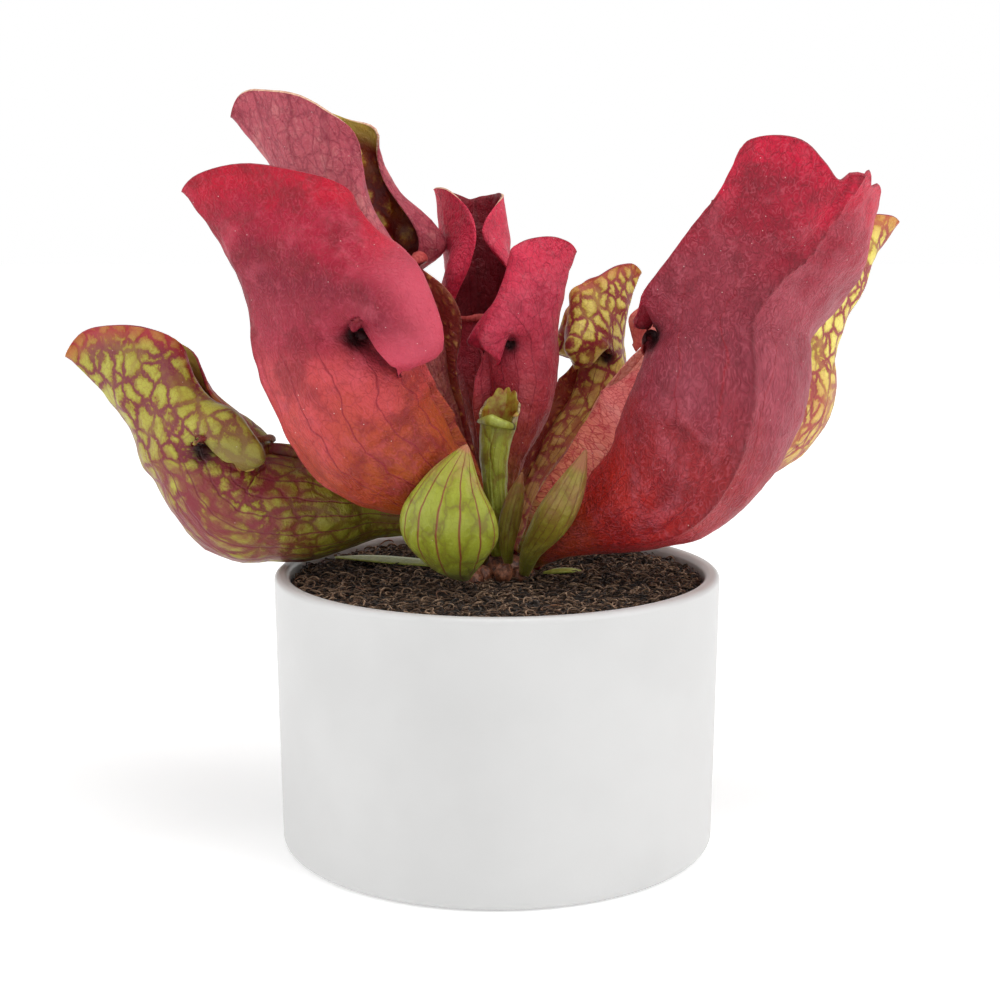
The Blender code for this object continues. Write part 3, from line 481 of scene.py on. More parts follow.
paints = {
    "crimson": downyPaint("crimson_downy_leaf", looks["crimson"]),
    "wine": downyPaint("wine_downy_leaf", looks["wine"]),
    "rose": downyPaint("rose_downy_leaf", looks["rose"]),
    "veined": downyPaint("pink_veined_leaf", looks["veined"]),
    "salmon": downyPaint("salmon_leaf", looks["salmon"]),
    "wingPink": downyPaint("pink_netted_wing", looks["wingPink"]),
    # the insides of the hoods: the rose paint, darkened three quarters of the way to painted shade
    "wineInside": downyPaint("wine_leaf_inside", looks["rose"], 0.25),
    "greenNet": nettedPaint("green_netted_leaf", netted["greenNet"]),
    "goldNet": nettedPaint("gold_netted_leaf", netted["goldNet"]),
    "slimNet": nettedPaint("slim_young_leaf", netted["slimNet"], 0.36),
    "stubNet": nettedPaint("cut_stub_skin", netted["stubNet"]),
    "freshNet": nettedPaint("fresh_young_leaf", netted["freshNet"], 0.34),
    "patched": nettedPaint("patched_leaf_inside", netted["patched"], 0.3),
    "wingNet": nettedPaint("orange_netted_wing", netted["wingNet"]),
    "redRim": plainPaint("leaf_rim_red", (0.22, 0.006, 0.015), (0.44, 0.02, 0.05), 2.0, 0.42),
    "paleRim": plainPaint("leaf_rim_pale", (0.55, 0.22, 0.16), (0.78, 0.55, 0.36), 2.0, 0.5),
    "lip": plainPaint("leaf_lip", (0.32, 0.03, 0.03), (0.52, 0.09, 0.08), 1.4, 0.5,
                      Specular_IOR_Level=0.15),
    "lipBrown": plainPaint("leaf_lip_brown", (0.14, 0.03, 0.01), (0.30, 0.11, 0.03), 1.4, 0.5,
                           Specular_IOR_Level=0.15),
    "stalk": plainPaint("young_stalk", (0.26, 0.28, 0.03), (0.40, 0.46, 0.07), 0.8, 0.38),
    "papery": plainPaint("dry_papery_edge", (0.20, 0.12, 0.04), (0.52, 0.42, 0.22), 1.2, 0.7, 0.5),
    "amber": plainPaint("amber_inside", (0.30, 0.07, 0.01), (0.42, 0.36, 0.04), 0.5, 0.4),
}
print("paints:", len(paints))


# the crown, where every leaf begins

crown = dict(
    lobes=(((1.5, 2.0, 71.5), (9.0, 8.0, 6.5)), ((1.9, -7.6, 74.9), (2.7, 2.7, 2.7)),
           ((-3.6, -5.8, 73.8), (2.8, 2.8, 2.8)), ((-6.6, -9.4, 73.6), (3.0, 2.8, 2.8)),
           ((5.8, -4.6, 73.4), (2.6, 2.6, 2.6))),
    seatGap=1.1, core=(8.6, 7.6, 6.2), lump=0.07, lumpSize=0.9, seed=30,
    low=(0.10, 0.028, 0.012), high=(0.36, 0.13, 0.065), crack=(0.03, 0.01, 0.006),
    grain=900.0, tones=(0.35, 0.65), cells=700.0, crackWidth=0.08, bump=0.3)  # scales are per metre


def crownSeat(azimuth, elevation, lobe=0):
    # the point just off a lobe of the crown, where a leaf starts
    azimuth, elevation = np.radians((azimuth, elevation))
    flat = np.cos(elevation)
    way = np.array((flat * np.cos(azimuth), flat * np.sin(azimuth), np.sin(elevation)))
    centre, size = crown["lobes"][lobe]
    return np.array(centre) + way * (1 / np.linalg.norm(way / size) + crown["seatGap"])


# pitchers

# one side of a hood, in hood sizes from the edge of the mouth: back, up and sideways,
# from the middle of the back to the corner of the mouth
hoodLow = (
    (-0.12, 0.68, 0.00), (-0.16, 0.68, 0.03), (-0.22, 0.68, 0.07), (-0.29, 0.67, 0.13), (-0.36, 0.62, 0.20),
    (-0.44, 0.52, 0.25), (-0.52, 0.36, 0.30), (-0.48, 0.18, 0.33), (-0.14, 0.10, 0.26))
hoodHigh = (
    (-0.06, 1.38, 0.00), (-0.18, 1.33, 0.07), (-0.33, 1.27, 0.13), (-0.48, 1.22, 0.20), (-0.62, 1.11, 0.28),
    (-0.78, 0.93, 0.30), (-1.02, 0.48, 0.24), (-1.17, -0.15, 0.14), (-0.52, -0.45, 0.32))
hoodEdge = (
    (0.20, 2.19, 0.00), (-0.25, 2.28, 0.02), (-0.65, 2.22, 0.06), (-0.90, 2.02, 0.13), (-1.07, 1.79, 0.15),
    (-1.20, 1.52, 0.00), (-1.15, 0.65, -0.35), (-1.08, 0.02, -0.40), (-0.72, -0.62, 0.00))

# root is a place on the crown. spine and girth run from there to the mouth, in mm. azimuth is the way
# that the back faces, at the foot and at the mouth, and corner is where the mouth's edge turns, from
# the back, in degrees. edge and far are the free edges of the hood's two lobes, in hood sizes, and near
# tells which is which. bulge bows the hood and dome rounds its lobes. wing is the width of the front
# blade and turn its slant. keel is a height and a width, ruffle a height and a number of waves, roll
# the radius and turn of the free edge, and strip the painted light that pales the leaf on one side of the
# keel.
pitchers = {
    "pitcher_left_front": dict(
        root=(215, 40), azimuth=(198, 188), corner=108, hood=20.0,
        spine=((-11.9, -8, 86.7), (-14, -11, 97.4), (-22.4, -15, 105.2), (-32.4, -16, 114.5),
               (-39, -16, 126.5), (-43.5, -15, 140.3)),
        girth=((2.2, 2.2), (6, 6), (8.8, 9.5), (14.6, 15), (18.3, 18.5), (19.2, 18.5), (19.4, 15)),
        wing=(0.3, 1.5, 2.5, 3, 2.5, 2, 0.3), keel=(0.6, 1.6), ruffle=(0.5, 9), roll=(0.6, 70), dome=0.32,
        mouthDrop=7,
        edge=((0.2, 2.2, 0), (-0.05, 2.3, 0.02), (-0.55, 2.2, 0.06), (-1, 1.9, 0.13), (-1.3, 1.55, 0.15),
              (-1.38, 1.05, 0.05), (-1.55, 0.5, -0.05), (-1.12, -0.66, 0), (-0.42, -0.94, 0.1)),
        outside="crimson", inside="wineInside", rim="redRim", lip="lip", blade="crimson", slot="red_leaf"),
    "pitcher_left_low": dict(
        root=(183, 24), azimuth=(180, 186), corner=93, hood=16.0,
        spine=((-12.8, 2, 80.5), (-21, 6, 86.5), (-31, 7.5, 89), (-48, 6.8, 89.8), (-60.5, 6.2, 91),
               (-70.5, 6.3, 93), (-76.5, 7.2, 99.5), (-79.5, 8.3, 105.5), (-81.2, 8.9, 108.8)),
        girth=((2.2, 2.2), (3, 3), (4.6, 4.4), (7.2, 6.6), (13.4, 11.5), (15.6, 13.8), (16.5, 15.2),
               (15.5, 15.5), (16, 15), (17, 14.5)),
        wing=(0.3, 1, 2, 3, 3, 3, 2, 1, 0.5, 0.3), keel=(0.4, 1.6), ruffle=(0.5, 12), roll=(0.6, 70),
        dome=0.32, lipSize=0.35, mouthDrop=9,
        edge=((0.3, 2.25, 0), (-0.05, 2.4, 0.02), (-0.45, 2.3, 0.06), (-0.9, 1.95, 0.13), (-1.2, 1.45, 0.15),
              (-1.15, 0.65, 0.12), (-1.32, -0.02, 0.08), (-1.0, -0.98, 0.1), (-0.42, -0.94, 0.12)),
        outside="greenNet", inside="patched", rim="redRim", lip="lipBrown", blade="greenNet",
        slot="green_leaf"),
    "pitcher_left_back": dict(
        root=(146, 42), azimuth=(150, 164), corner=105, hood=24.0, bulge=0.8,
        spine=((-4.7, 6, 79.9), (-6.9, 11, 91.6), (-12.5, 18, 107.3), (-20, 23, 122.1),
               (-26, 26, 136), (-33, 27, 149.5)),
        girth=((2.2, 2.2), (2.6, 2.6), (3.2, 3.2), (4.6, 4.6), (8, 8), (11.5, 11), (12.5, 11.5)),
        wing=(0.3, 0.6, 1, 2, 3.5, 8, 0.3), turn=20, keel=(0.4, 1.6), ruffle=(0.8, 11), roll=(1.0, 60),
        edge=((0.1, 2.5, 0), (-0.1, 2.6, 0.05), (-0.4, 2.5, 0.1), (-0.7, 2.25, 0.15), (-0.95, 1.8, 0.15),
              (-0.95, 1.4, 0.1), (-0.65, 0.9, 0), (-0.45, 0.45, -0.1), (-0.25, 0.25, 0)),
        far=((0.1, 2.5, 0), (0.05, 2.6, 0.05), (-0.15, 2.55, 0.1), (-0.4, 2.3, 0.1), (-0.7, 1.9, 0.1),
             (-0.85, 1.6, 0.1), (-0.6, 1.1, 0.1), (-0.55, 0.35, 0.1), (-0.2, 0, 0.1)),
        outside="veined", inside="patched", rim="paleRim", lip="lip", blade="wingNet", slot="red_leaf"),
    "pitcher_centre_back": dict(
        root=(106, 36), azimuth=(97, 90), corner=105, hood=12.7, bulge=0.5,
        spine=((-1, 12, 80.1), (-2.2, 20, 95.7), (-3.2, 31.5, 114.1), (-4.8, 38.5, 130.6), (-5.3, 41, 144.1)),
        girth=((2.2, 2.2), (2.4, 2.4), (4, 4), (7, 7.5), (9, 10), (9, 10.5)),
        wing=(0.3, 0.5, 1, 2, 2, 0.3), keel=(0.3, 1.6), ruffle=(0.3, 7), roll=(0.9, 60),
        lipSize=0.5, mouthDrop=6,
        edge=((0.2, 2.45, 0), (0.1, 2.4, 0.02), (-0.1, 2.5, 0.2), (-0.35, 2.55, 0.4), (-0.7, 2.45, 0),
              (-1, 1.95, -0.55), (-1.1, 1.35, -0.75), (-0.85, 0.7, -0.6), (-0.4, -0.05, -0.2)),
        far=((0.2, 2.45, 0), (0.1, 2.45, 0.05), (-0.05, 2.45, 0.05), (-0.25, 2.4, 0.05), (-0.5, 2.3, 0),
             (-0.8, 1.9, -0.35), (-0.9, 1.5, -0.6), (-0.75, 1.15, -0.55), (-0.4, 0.8, -0.25)),
        outside="rose", inside="wineInside", rim="paleRim", lip="lip", blade="rose", slot="red_leaf"),
    "pitcher_centre": dict(
        root=(80, 78), azimuth=(30, 15), corner=124, hood=11.0, near=-1,
        spine=((1.9, 4, 84), (2, 5, 92.6), (3, 7, 104.7), (5.7, 9, 115.4), (7.1, 11, 124.7),
               (7.1, 12, 134.2)),
        girth=((1.5, 1.5), (1.7, 1.7), (2.6, 2.6), (5, 5), (8, 7.5), (9.5, 9), (10, 8.5)),
        wing=(0.3, 0.3, 1, 4, 5.5, 4, 0.3), keel=(0.3, 1.6), ruffle=(0.25, 7), roll=(0.4, 60), dome=0.32,
        lipSize=0.5,
        edge=((0.4, 2.3, 0), (0.25, 2.45, 0.02), (-0.1, 2.55, 0.06), (-0.5, 2.5, 0.13), (-0.85, 2.3, 0.15),
              (-0.9, 1.9, 0.05), (-0.9, 1.15, -0.1), (-1.0, 0.3, -0.1), (-0.45, -0.5, 0)),
        far=((0.4, 2.3, 0), (0.35, 2.4, 0.02), (0.1, 2.5, 0.06), (-0.25, 2.4, 0.1), (-0.5, 2.15, 0.1),
             (-0.55, 1.7, 0), (-0.6, 1, -0.1), (-0.7, 0.4, -0.1), (-0.35, -0.2, 0)),
        outside="rose", inside="wineInside", rim="redRim", lip="lip", blade="rose", slot="red_leaf"),
    "pitcher_yellow": dict(
        root=(64, 46), azimuth=(30, 20), corner=108, hood=11.0, near=-1,
        spine=((4.6, 10.6, 80.7), (9.4, 19.4, 92.8), (18, 28.6, 105.8), (26.7, 34.5, 116.5),
               (30.5, 37.5, 127.6)),
        girth=((1.6, 1.6), (2.5, 2.5), (3, 3), (5, 5), (6.8, 6.5), (7.2, 6.8)),
        wing=(0.3, 2, 6, 8, 6, 0.3), turn=-20, keel=(0.3, 1.4), ruffle=(0.4, 12), roll=(0.4, 60), dome=0.28,
        edge=((-0.45, 2.5, 0), (-0.8, 2.55, 0.02), (-1.2, 2.25, 0.06), (-1.6, 1.8, 0.13), (-1.85, 1.45, 0.15),
              (-1.95, 1.05, 0.05), (-1.7, 0.45, -0.1), (-1.4, -0.2, -0.1), (-0.8, -0.65, 0)),
        far=((-0.45, 2.5, 0), (-0.7, 2.45, 0.02), (-1, 2.1, 0.06), (-1.3, 1.65, 0.1), (-1.5, 1.3, 0.1),
             (-1.55, 0.9, 0), (-1.3, 0.4, -0.1), (-0.9, 0.1, -0.1), (-0.5, -0.2, 0)),
        outside="goldNet", inside="patched", rim="redRim", lip="lipBrown", blade="wingNet",
        slot="green_leaf"),
    "pitcher_right_front": dict(
        root=(-30, 34), azimuth=(-20, -55), corner=108, hood=21.0, bulge=0.7, near=-1,
        spine=((16.8, -8, 84.8), (31.5, -13, 93), (43.6, -17, 101.8), (53, -20, 115.2),
               (58, -21.5, 129.3), (59.5, -19, 140.5)),
        girth=((2.2, 2.2), (6, 6), (12, 12), (18.5, 18), (21, 22), (21, 23), (20, 21)),
        wing=(0.3, 8, 13, 14, 12, 8, 0.3), turn=20, keel=(1.5, 1.3), ruffle=(0.4, 10), roll=(0.5, 50),
        mouthDrop=9, lipSize=0.5,
        keelAt=((0, -6), (0.35, -10), (0.6, -10.5), (0.8, -8), (0.93, -2.5), (1, -1)), strip=0.22,
        edge=((1.0, 1.72, 0), (0.9, 1.55, 0.03), (0.95, 1.7, 0.1), (0.9, 1.9, 0.15), (0.66, 1.95, 0.17),
              (0.56, 1.85, 0.08), (0.74, 1.3, -0.08), (0.38, 0.65, -0.1), (-0.16, -0.12, -0.05)),
        far=((1.0, 1.72, 0), (0.84, 1.6, 0.05), (0.78, 1.7, 0.1), (0.75, 1.6, 0.1), (0.7, 1.4, 0.1),
             (0.65, 1.2, 0.1), (0.6, 0.9, 0.1), (0.4, 0.5, 0.05), (0, 0, 0)),
        outside="wine", inside="wineInside", rim="redRim", lip="lip", blade="wingPink", slot="red_leaf"),
    "pitcher_right_back": dict(
        root=(6, 24), azimuth=(20, 15), corner=108, hood=16.0,
        spine=((23.2, 16, 84.4), (43.2, 24, 92.2), (60.9, 31, 99.8), (74.2, 36, 107.8), (82.6, 40, 117.4),
               (84.7, 42, 129.1)),
        girth=((2.2, 2.2), (3, 3), (6, 6), (10, 9.5), (14, 13), (15, 13.5), (13, 11)),
        wing=(0.3, 1, 2, 2, 2, 1, 0.3), keel=(0.4, 1.6), ruffle=(0.6, 13), roll=(0.5, 60), dome=0.25,
        edge=((0.8, 2.75, 0), (0.55, 2.75, 0.02), (0.2, 2.6, 0.06), (-0.25, 2.4, 0.13), (-0.8, 1.9, 0.15),
              (-1.1, 1.5, 0), (-1.15, 0.65, -0.35), (-1.1, 0, -0.4), (-0.7, -0.6, 0)),
        outside="goldNet", inside="patched", rim="redRim", lip="lipBrown", blade="goldNet",
        slot="green_leaf"),
    "pitcher_salmon": dict(
        root=(31, 42), azimuth=(25, 20), corner=108, hood=12.0,
        spine=((12.8, 8, 87.4), (25.2, 11, 101.4), (36.2, 14.8, 113.8), (46, 17.5, 124.4), (52, 18, 133.8)),
        girth=((1.8, 1.8), (2.6, 2.6), (5, 5), (8, 8), (9.5, 9), (9, 8)),
        wing=(0.3, 1, 2, 3, 2, 0.3), keel=(0.3, 1.6), ruffle=(0.3, 8), roll=(0.5, 60), dome=0.25,
        outside="salmon", inside="salmon", rim="redRim", lip="lip", blade="salmon", slot="red_leaf"),
    "cut_stub": dict(
        root=(245, 66), azimuth=(80, 70), corner=115, hood=4.2, bulge=0,
        spine=((-0.2, -1.6, 83), (-0.4, -2.2, 92), (-0.8, -2.7, 104), (0.4, -2.9, 114.5)),
        girth=((1.8, 1.8), (2.4, 2.4), (3.2, 3.2), (3.6, 3.6), (4.6, 5)),
        wing=(0.3, 0.3, 0.3, 0.3, 0.3), keel=(0.1, 1.0), ruffle=(0.15, 9), roll=(0.3, 40),
        edge=((0.1, 2.1, 0), (0, 1.8, 0), (0, 2, 0), (0, 1.5, 0), (0, 1.3, 0.1),
              (0, 1, 0.1), (0, 0.85, 0.1), (0, 0.7, 0.08), (0, 0.5, 0.05)),
        outside="stubNet", inside="amber", rim="papery", lip="stalk", blade="stalk", slot="young_leaf"),
}

pitcherGrid = dict(
    hoodColumns=44, lipColumns=12, tubeRows=60, hoodRows=36, lipRows=8, rollRows=9, seamRows=6,
    hoodReach=2.2, hoodFoot=-0.5, wall=0.7, lipRadius=1.3, lipRoll=230, dropFrom=40,
    flare=(1.1, -32), flareFrom=16, rollFrom=(0.42, 0.68), rollRise=0.3, rollStep=0.5, even=(6, 3),
    underNose=0.4, push=0.12, lobeColumn=8, thinEnd=0.08, leastBend=0.02)
relief = dict(  # mm, unless it says otherwise
    groove=0.45, grooveAt=2.2, grooveWidth=1.3,                # beside the keel, in keel widths
    rib=0.12, ribs=13, ribHeart=0.35, keelFrom=0.15,           # hearts and starts are shares of the leaf
    dents=((0.28, 5, 16), (0.12, 6, 6)),                       # each dent: height, seed, size
    # the pits at the mouth's corners are dented, and darkened with painted shade
    pit=1.3, pitReach=3.4, pitShade=(1.35, 1.15), fullHood=20, # at the two corners of the mouth
    # the last two on the next line shape the painted light on one side of the keel
    crestWidth=0.4, crestFrom=0.2, litStripSoft=2.5, litStripFade=((0.2, 0.55), (0.2, 1)))
wingShape = dict(
    rows=60, columns=6, start=0.02, end=0.985, inTube=-0.12, thick=0.5, thinned=0.28, wave=0.35, waves=31)


def stemOf(leaf):
    # a leaf's middle line, with its keys from 0 to 1 and its length
    seat = [crownSeat(*leaf["root"])] if "root" in leaf else []
    points = np.array((*seat, *leaf["spine"]))
    lengths = np.linalg.norm(np.diff(points, axis=0), axis=1)
    return points, np.concatenate([[0], np.cumsum(lengths)]) / lengths.sum(), lengths.sum()


def stemFrames(leaf, at):
    # centres along the stem, and the ways to the leaf's back, up and sideways
    points, keys, _ = stemOf(leaf)
    centre = spline(keys, points, at)
    up = unit(spline(keys, points, at + 1e-3) - spline(keys, points, at - 1e-3))
    turn = np.radians(leaf["azimuth"][0] + (leaf["azimuth"][1] - leaf["azimuth"][0]) * at)
    side = np.stack([-np.sin(turn), np.cos(turn), 0 * turn], axis=1)
    side = unit(side - (side * up).sum(axis=1, keepdims=True) * up)
    return centre, np.cross(side, up), up, side


def stemRings(leaf, at, angles):
    centre, back, _, side = stemFrames(leaf, at)
    _, keys, _ = stemOf(leaf)
    depth, width = np.maximum(spline(keys, leaf["girth"], at).T, 0.3)
    return (centre[:, None] + (depth[:, None] * np.cos(angles))[..., None] * back[:, None]
            + (width[:, None] * np.sin(angles))[..., None] * side[:, None])


def mouthDrop(leaf, angles):
    # how far the mouth's edge lies below its back, in mm
    start = np.radians(leaf["corner"] - pitcherGrid["dropFrom"])
    lowered = np.clip((np.abs(angles) - start) / (np.pi - start), 0, 1)
    return leaf.get("mouthDrop", 0) * lowered * (2 - lowered)


def hoodRows(leaf, ring, axes, columns, rows):
    # the sheet of the hood, bowed between the mouth and its free edge
    back, up, side = axes
    partWay = np.array((1 / 3, 2 / 3, 1))[:, None, None]
    bow = (hoodLow, hoodHigh, hoodEdge) - partWay * hoodEdge
    edges = [np.array(leaf.get("edge", hoodEdge)), np.array(leaf.get("far", leaf.get("edge", hoodEdge)))]
    one, other = [partWay * edge + bow * leaf.get("bulge", 1.0) for edge in edges[::leaf.get("near", 1)]]
    net = np.concatenate([other[:, :0:-1] * (1, 1, -1), one], axis=1) * leaf["hood"]
    start = np.zeros_like(net[:1])
    net = np.concatenate([start + np.array((0, pitcherGrid["hoodFoot"], 0)) * leaf["hood"], start, net])
    wide = (net.shape[1] - 1) // 2
    net = spline(np.arange(-wide, wide + 1) / wide, net.swapaxes(0, 1), columns).swapaxes(0, 1)
    net = spline(np.array((-1, 0, 1, 2, 3)) / 3, net, rows)
    return ring + net[..., :1] * back + net[..., 1:2] * up + net[..., 2:] * side


def smoothed(grid, rounds):
    # relaxes the inside of a grid, and keeps its edges
    grid = grid.copy()
    for _ in range(rounds):
        inner = (grid[:-2, 1:-1] + grid[2:, 1:-1] + grid[1:-1, :-2] + grid[1:-1, 2:]) / 4
        grid[1:-1, 1:-1] = (grid[1:-1, 1:-1] + inner) / 2
    return grid


def around(grid, middle):
    # distance round each row from its middle column, in mm
    steps = np.linalg.norm(np.diff(grid, axis=1), axis=2)
    run = np.concatenate([np.zeros((len(grid), 1)), np.cumsum(steps, axis=1)], axis=1)
    return run - run[:, middle:middle + 1]


def lipRows(leaf, edge, centre, up, weight):
    # the rolled lip round the front of the mouth, which thins out at the corners
    g = pitcherGrid
    outward = unit(edge - centre)
    weight = weight[:, None]
    size = g["lipRadius"] * leaf.get("lipSize", 1.0)
    radius = size * (g["thinEnd"] + (1 - g["thinEnd"]) * weight)
    middle = edge + outward * radius + up * weight * size
    rows = []
    for partWay in np.arange(1, g["lipRows"] + 1) / g["lipRows"]:
        angle = np.radians(g["lipRoll"]) * partWay
        rows.append(middle - outward * radius * np.cos(angle) + up * radius * np.sin(angle))
    return np.array(rows)


def freeEdge(rows, wide):
    # grid places along the free edge of a hood, with how much of a lobe's edge each of them is
    g = pitcherGrid
    low, high = g["rollFrom"]
    path = [(row, 0) for row in range(rows)] + [(rows - 1, column) for column in range(1, wide - 1)]
    path += [(row, wide - 1) for row in range(rows - 1, -1, -1)]
    path = np.array(path)
    onTop = path[:, 0] == rows - 1
    aside = np.abs(path[:, 1] - (wide - 1) / 2) / ((wide - 1) / 2)
    ease = np.where(onTop, eased((aside - low) / (high - low)), 1.0)
    rise = np.where(onTop, 1.0, eased(path[:, 0] / rows / g["rollRise"]))
    return path, onTop, ease, rise


def domedLobes(leaf, hood):
    # rounds the two lobes like a nose: the sheet turns in towards its free edge
    if "dome" not in leaf:
        return hood
    g = pitcherGrid
    radius = leaf["dome"] * leaf["hood"]
    path, onTop, ease, rise = freeEdge(*hood.shape[:2])
    edge = hood[path[:, 0], path[:, 1]]
    gap = np.linalg.norm(hood[:, :, None] - edge, axis=3)
    nearest = gap.argmin(axis=2)
    inward = np.clip(1 - gap.min(axis=2) / radius, 0, 1)
    strength = (ease * rise * np.where(onTop, 1.0, g["underNose"]))[nearest]
    normal = unit(np.cross(np.gradient(hood, axis=1), np.gradient(hood, axis=0)))
    sink = radius * (1 - np.sqrt(1 - np.minimum(inward, 0.995) ** 2)) * strength
    onLeft = np.arange(hood.shape[1]) < hood.shape[1] // 2
    centre = hood[hood.shape[0] // 2, np.where(onLeft, g["lobeColumn"], -g["lobeColumn"] - 1)]
    out = unit(hood - centre)
    out = unit(out - (out * normal).sum(axis=2, keepdims=True) * normal)
    push = g["push"] * leaf["hood"] * inward * strength
    return hood - normal * sink[..., None] + out * push[..., None]


def rolledEdge(leaf, hood):
    # the free edge of a hood: rolled in round the two lobes, and flared a little along the top
    g = pitcherGrid
    rows, wide = hood.shape[:2]
    path, onTop, ease, rise = freeEdge(rows, wide)
    edge = hood[path[:, 0], path[:, 1]]
    within = hood[np.minimum(path[:, 0], rows - 2), np.clip(path[:, 1], 1, wide - 2)]
    outward = evened(unit(edge - within), g["even"][0])
    along = unit(evened(np.gradient(edge, axis=0), g["even"][1]))
    outward = unit(outward - (outward * along).sum(axis=1, keepdims=True) * along)
    inward = -np.cross(along, outward)
    radius, roll = leaf["roll"]
    flareLength, flare = g["flare"]
    flareLength = flareLength * min(1, leaf["hood"] / g["flareFrom"])
    bend = np.radians(flare + (roll - flare) * ease) * rise
    length = flareLength + (radius * np.radians(roll) - flareLength) * ease
    length = length * (g["thinEnd"] + (1 - g["thinEnd"]) * rise)
    bend = np.where(np.abs(bend) < g["leastBend"], g["leastBend"], bend)
    strip = []
    for partWay in np.arange(1, g["rollRows"] + 1) / g["rollRows"]:
        ahead = length * np.sin(bend * partWay) / bend
        within = length * (1 - np.cos(bend * partWay)) / bend
        strip.append(edge + outward * ahead[:, None] + inward * within[:, None])
    return path, onTop, np.array(strip)


def leafRelief(leaf, points, offKeel, q, share, inHood, away):
    # how far each point rises: keel, ribs over the long veins, soft dents, ruffled edge and pits
    r = relief
    groove = r["groove"] * np.exp(-((offKeel * leaf.get("near", 1) - r["grooveAt"]) / r["grooveWidth"]) ** 2)
    rise = leaf["keel"][0] * (np.exp(-offKeel**2) - groove) * np.clip((share - r["keelFrom"]) * 4, 0, 1)
    rise += r["rib"] * np.cos(q * np.pi * r["ribs"]) * np.clip(1 - np.abs(share - r["ribHeart"]) * 2.5, 0, 1)
    rise += sum(height * waves(points, seed, size) for height, seed, size in r["dents"])
    size, beats = leaf["ruffle"]
    rise += size * inHood**3 * np.sin(q * np.pi * beats + 1.3) * np.sin(q * np.pi * beats * 0.37 + 0.4)
    rise *= np.clip(share * 6, 0, 1)
    small = min(1, leaf["hood"] / r["fullHood"])
    pit = np.exp(-(away / (r["pitReach"] * small)) ** 2)
    return rise - r["pit"] * small * pit


